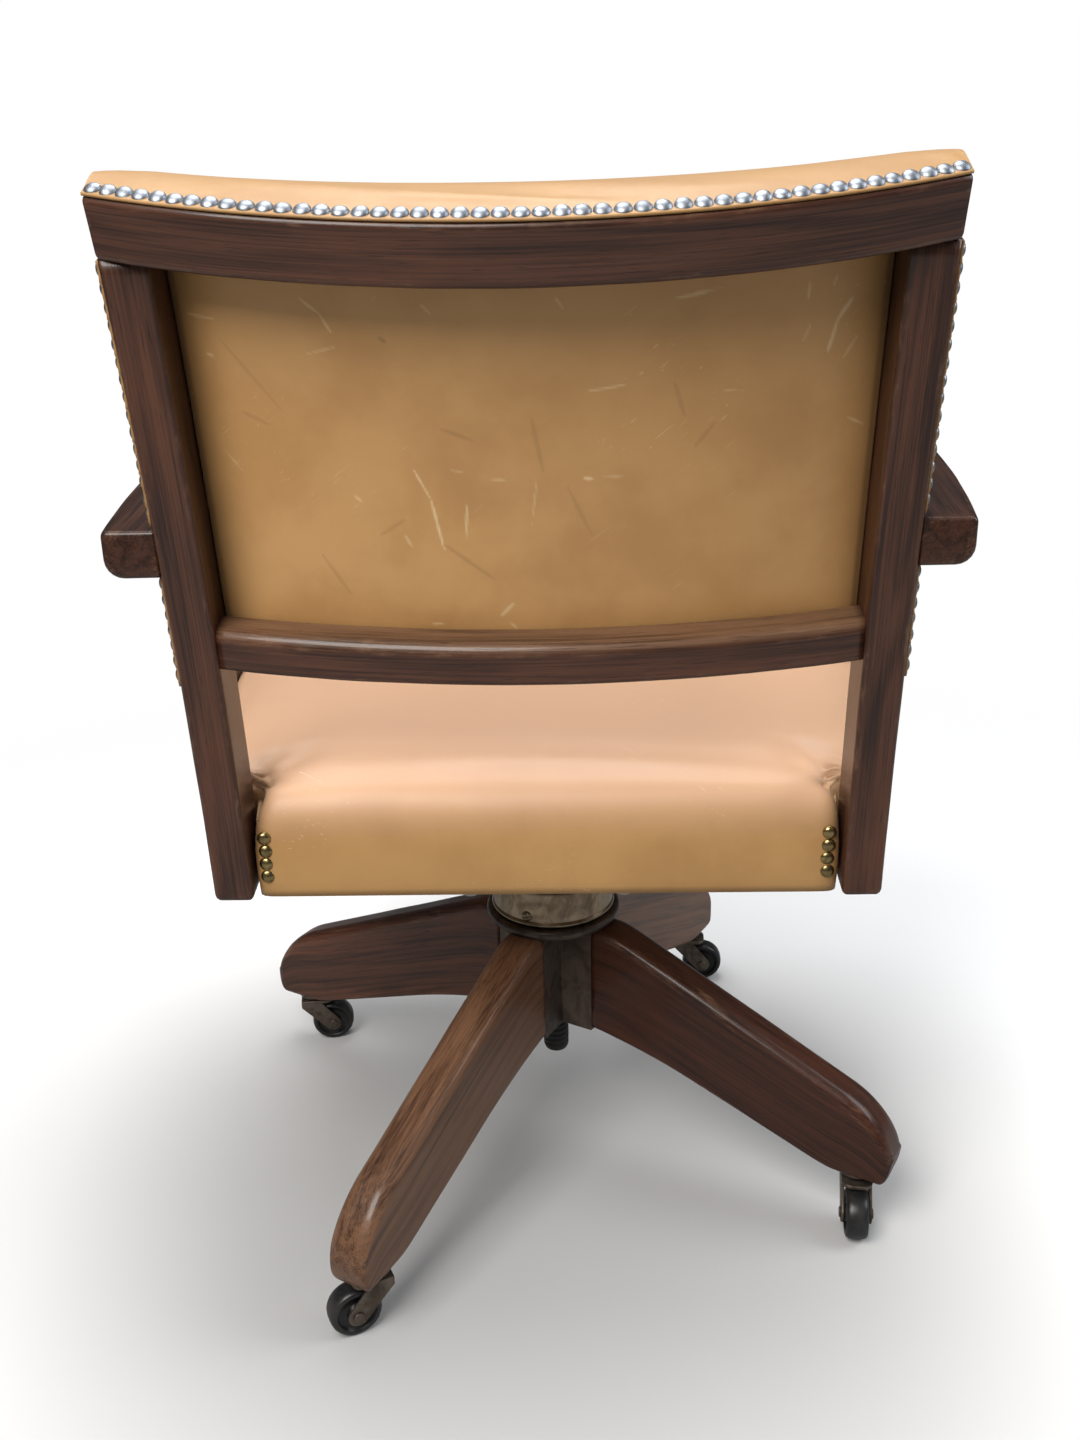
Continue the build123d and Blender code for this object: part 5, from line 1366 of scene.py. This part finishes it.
# scuffs and creases on the panel, the creases darkened as painted shade: pixels of their two ends, width in
# millimetres, strength
panelScuffs = [((413, 469), (431, 500), 1.3, 0.75), ((431, 500), (444, 549), 1.5, 0.85),
               ((467, 503), (466, 545), 1.2, 0.7), ((537, 477), (532, 525), 1.1, 0.35),
               ((297, 297), (319, 314), 1.3, 0.5), ((319, 314), (331, 333), 1.3, 0.6),
               ((307, 354), (335, 347), 1.3, 0.35), ((501, 616), (514, 603), 2.0, 0.6),
               ((584, 392), (624, 385), 1.4, 0.5), ((673, 299), (708, 292), 1.6, 0.5),
               ((690, 294), (722, 288), 1.3, 0.35), ((828, 351), (838, 319), 2.0, 0.7),
               ((838, 319), (853, 297), 2.0, 0.7), ((842, 360), (858, 334), 1.3, 0.4),
               ((808, 299), (811, 280), 1.6, 0.5), ((833, 287), (839, 272), 1.4, 0.45),
               ((803, 341), (811, 324), 1.2, 0.35), ((189, 314), (214, 319), 1.5, 0.35),
               ((206, 353), (214, 356), 1.4, 0.5), ((226, 451), (243, 471), 1.1, 0.4),
               ((355, 496), (362, 502), 1.8, 0.55), ((405, 535), (412, 547), 1.5, 0.5),
               ((450, 470), (465, 473), 1.4, 0.4), ((489, 480), (508, 480), 1.4, 0.45),
               ((584, 478), (593, 479), 2.0, 0.75), ((602, 477), (629, 476), 1.2, 0.35),
               ((847, 417), (864, 424), 1.6, 0.4), ((432, 624), (444, 623), 1.6, 0.5),
               ((511, 623), (517, 628), 1.5, 0.45), ((420, 304), (430, 314), 1.5, 0.35),
               ((555, 297), (563, 309), 1.5, 0.35), ((722, 390), (744, 390), 1.2, 0.35)]
panelCreases = [((379, 338), (386, 343), 2.2, 0.5), ((531, 417), (543, 471), 2.6, 0.35),
                ((567, 486), (592, 535), 2.4, 0.3), ((675, 383), (685, 417), 2.4, 0.35),
                ((695, 446), (715, 422), 2.2, 0.4), ((445, 545), (494, 579), 2.6, 0.4),
                ((440, 429), (474, 441), 2.6, 0.4), ((322, 554), (351, 594), 2.4, 0.35),
                ((243, 412), (268, 424), 2.4, 0.4), ((381, 535), (405, 520), 2.2, 0.4),
                ((219, 338), (283, 412), 2.0, 0.3)]


def makePanel():
    spec = panelSpec
    half, foot, top = spec["half"], spec["foot"], spec["top"]
    columns = int(2 * half / spec["step"])
    rows = int((top - foot) / spec["step"])
    points, shade = [], []
    for z in spread(foot, top, rows):
        for x in spread(-half, half, columns):
            inside = min(half - abs(x), z - foot, top - z)
            free = smoothStep(inside, 0.0, spec["freeRun"])
            sway = spec["wave"] * free * noise.noise(Vector((x * 9 + z * 3, z * 7 - x * 2, spec["waveSeed"])))
            tuck = spec["tuck"] * (1 - smoothStep(inside, 0.0, spec["tuckRun"]))
            _, backward, _ = backFrame(z)
            points.append(panelPoint(x, z) + backward * (sway + tuck))
            # painted shade: the panel darkens towards its edges at the posts, the crest and the rail
            paintedShade = spec["paintedShade"] * (1 - smoothStep(inside, spec["shadeFrom"], spec["shadeTo"]))
            shade.append(paintedShade + spec["dust"] * (1 - smoothStep(inside, 0.0, spec["dustTo"])))
    mesh = meshFrom("outsideBackHide", points, gridFaces(rows, columns))
    panel = newPiece("outsideBackHide", mesh, "seat", panelHide, "back_leather", "outside_back")
    places = [(point.x, point.z) for point in points]
    setLayer(panel.data, "shade", shade)
    setLayer(panel.data, "scuff", paintStrokes(places, panelScuffs))
    setLayer(panel.data, "shadedCrease", paintStrokes(places, panelCreases))
    thicken(panel, panelSpec["thick"], -1)


makePanel()


flapSpec = {"rearInset": 0.007, "frontDepth": 0.0445, "thick": 0.0021, "wave": 0.0007, "columns": 12,
            "clear": 0.002, "rowStep": 0.003, "fray": 0.0006, "frayScale": 60, "rest": 0.0003,
            "pucker": 0.0006, "puckerTurn": 1.2, "shade": 0.25}


def makeFlap(side, low, high, name):
    # leather brought round the outer face of a post to a raw edge beside the nails
    spec = flapSpec
    points, rows = [], int((high - low) / spec["rowStep"])
    for z in spread(low, high, rows):
        rear, backward, _ = backFrame(z)
        phase = z / nailSpec["pitch"] * 2 * math.pi
        fray = spec["fray"] * noise.noise(Vector((z * spec["frayScale"], side, 0)))
        frayed = spec["wave"] * math.sin(phase) + fray
        pucker = spec["pucker"] * math.sin(phase + spec["puckerTurn"]) ** 2
        for share in spread(0.0, 1.0, spec["columns"]):
            depth = spec["rearInset"] + (spec["frontDepth"] - spec["rearInset"]) * share
            point = rear - backward * (depth + frayed if share == 0.0 else depth)
            point.x = side * (back["outer"] + spec["rest"] + pucker * (1 - share) ** 2)
            points.append(point)
    mesh = meshFrom(name, points, gridFaces(rows, flapSpec["columns"]))
    flap = newPiece(name, mesh, "seat", backHide, "back_leather", "side_leather")
    if flap.data.polygons[0].normal.x * side < 0:
        flap.data.flip_normals()
    setLayer(flap.data, "shade", [flapSpec["shade"]] * len(points))
    thicken(flap, flapSpec["thick"], 1)


for side, sideName in ((1, "Left"), (-1, "Right")):
    makeFlap(side, nailSpec["sideFoot"], nailSpec["armFoot"] - flapSpec["clear"], f"lowerFlap{sideName}")
    makeFlap(side, nailSpec["armTop"] + flapSpec["clear"], back["crestZ"] - flapSpec["clear"],
             f"upperFlap{sideName}")
print("leather made")


# Floor, light and camera

floorSpec = {"size": 7.0, "pale": (0.88, 0.88, 0.88, 1), "palest": (0.92, 0.92, 0.92, 1),
             "shadow": (0.5, 0.5, 0.5, 1), "shadowPlace": (0.06, 0.1, 0.0), "shadowFrom": 0.1,
             "shadowTo": 0.75, "whiteFrom": 0.7, "whiteTo": 1.5, "bounce": (0.34, 0.34, 0.34, 1)}
worldSpec = {"ambient": 0.3, "glossyLess": 0.24, "tint": (0.95, 0.97, 1.0, 1)}
lightSpec = {"keySoftbox": {"place": (0.75, 1.55, 2.15), "target": (0, 0.15, 0.6), "size": (1.3, 1.3),
                            "power": 56, "colour": (1.0, 0.97, 0.93)},
             "windowSoftbox": {"place": (-2.1, 0.2, 1.9), "target": (0, 0.1, 0.45), "size": (1.2, 1.6),
                               "power": 27, "colour": (0.94, 0.97, 1.0)},
             "topSoftbox": {"place": (0.1, -0.45, 2.5), "target": (0, 0.0, 0.4), "size": (1.4, 1.4),
                            "power": 38, "colour": (1, 1, 1)}}
pureWhite = {"Color": (1, 1, 1, 1), "Strength": 1.0}


def mixShader(tree, factor, first, second):
    return addNode(tree, "ShaderNodeMixShader", {0: factor, 1: first.outputs[0], 2: second.outputs[0]})


def makeFloor():
    # pale floor with a painted shadow under the chair, that fades into the white background and throws little
    # light back up
    spec = floorSpec
    half = spec["size"] / 2
    corners = [(-half, -half, 0), (half, -half, 0), (half, half, 0), (-half, half, 0)]
    floor = linked("floorPlane", meshFrom("floorPlane", corners, [(0, 1, 2, 3)]))
    made, tree, bsdf = newMaterial("paleFloor", Roughness=0.7, Specular_IOR_Level=0.1)
    place = objectPlace(tree)
    cloud = noiseAt(tree, place, (1.5, 1.5, 1.5), 3.0)
    colour = mixColour(tree, cloud, spec["pale"], spec["palest"])
    # painted shadow: the floor is darker around a spot under the chair
    inputs = {0: place, 1: spec["shadowPlace"]}
    beneath = addNode(tree, "ShaderNodeVectorMath", inputs, operation="DISTANCE").outputs["Value"]
    lit = ramp(tree, beneath, spec["shadowFrom"], spec["shadowTo"])
    colour = mixColour(tree, lit, spec["shadow"], colour)
    tree.links.new(colour, bsdf.inputs["Base Color"])
    distance = addNode(tree, "ShaderNodeVectorMath", {0: place}, operation="LENGTH").outputs["Value"]
    white = addNode(tree, "ShaderNodeEmission", pureWhite)
    dull = addNode(tree, "ShaderNodeBsdfDiffuse", {"Color": spec["bounce"]})
    seen = mixShader(tree, ramp(tree, distance, spec["whiteFrom"], spec["whiteTo"]), bsdf, white)
    path = addNode(tree, "ShaderNodeLightPath")
    both = mixShader(tree, path.outputs["Is Camera Ray"], dull, seen)
    tree.links.new(both.outputs[0], tree.nodes["Material Output"].inputs["Surface"])
    floor.data.materials.append(made)


def makeWorld():
    world = bpy.data.worlds.new("studioWorld")
    bpy.context.scene.world = world
    world.use_nodes = True
    tree = world.node_tree
    tree.nodes.clear()
    path = addNode(tree, "ShaderNodeLightPath")
    less = times(tree, path.outputs["Is Glossy Ray"], worldSpec["glossyLess"])
    ambient = mathNode(tree, "SUBTRACT", worldSpec["ambient"], less)
    soft = addNode(tree, "ShaderNodeBackground", {"Color": worldSpec["tint"], "Strength": ambient})
    white = addNode(tree, "ShaderNodeBackground", pureWhite)
    mixed = mixShader(tree, path.outputs["Is Camera Ray"], soft, white)
    output = addNode(tree, "ShaderNodeOutputWorld")
    tree.links.new(mixed.outputs[0], output.inputs["Surface"])


def makeLight(name, place, target, size, power, colour):
    lamp = bpy.data.lights.new(name, "AREA")
    lamp.shape = "RECTANGLE"
    lamp.size, lamp.size_y = size
    lamp.energy = power
    lamp.color = colour
    direction = Vector(target) - Vector(place)
    turn = direction.to_track_quat("-Z", "Y").to_matrix().to_4x4()
    linked(name, lamp).matrix_world = Matrix.Translation(place) @ turn


def makeCamera():
    data = bpy.data.cameras.new("photoCamera")
    data.lens = studio["lens"]
    data.sensor_fit = "AUTO"
    data.sensor_width = studio["sensor"]
    made = linked("photoCamera", data)
    right, up, forward = cameraAxes()
    turn = Matrix((right, up, -forward)).transposed().to_4x4()
    made.matrix_world = Matrix.Translation(studio["cameraPlace"]) @ turn
    bpy.context.scene.camera = made


makeFloor()
makeWorld()
for lightName, spec in lightSpec.items():
    makeLight(lightName, **spec)
makeCamera()
bpy.context.scene.view_settings.view_transform = "Standard"

print("stage set")
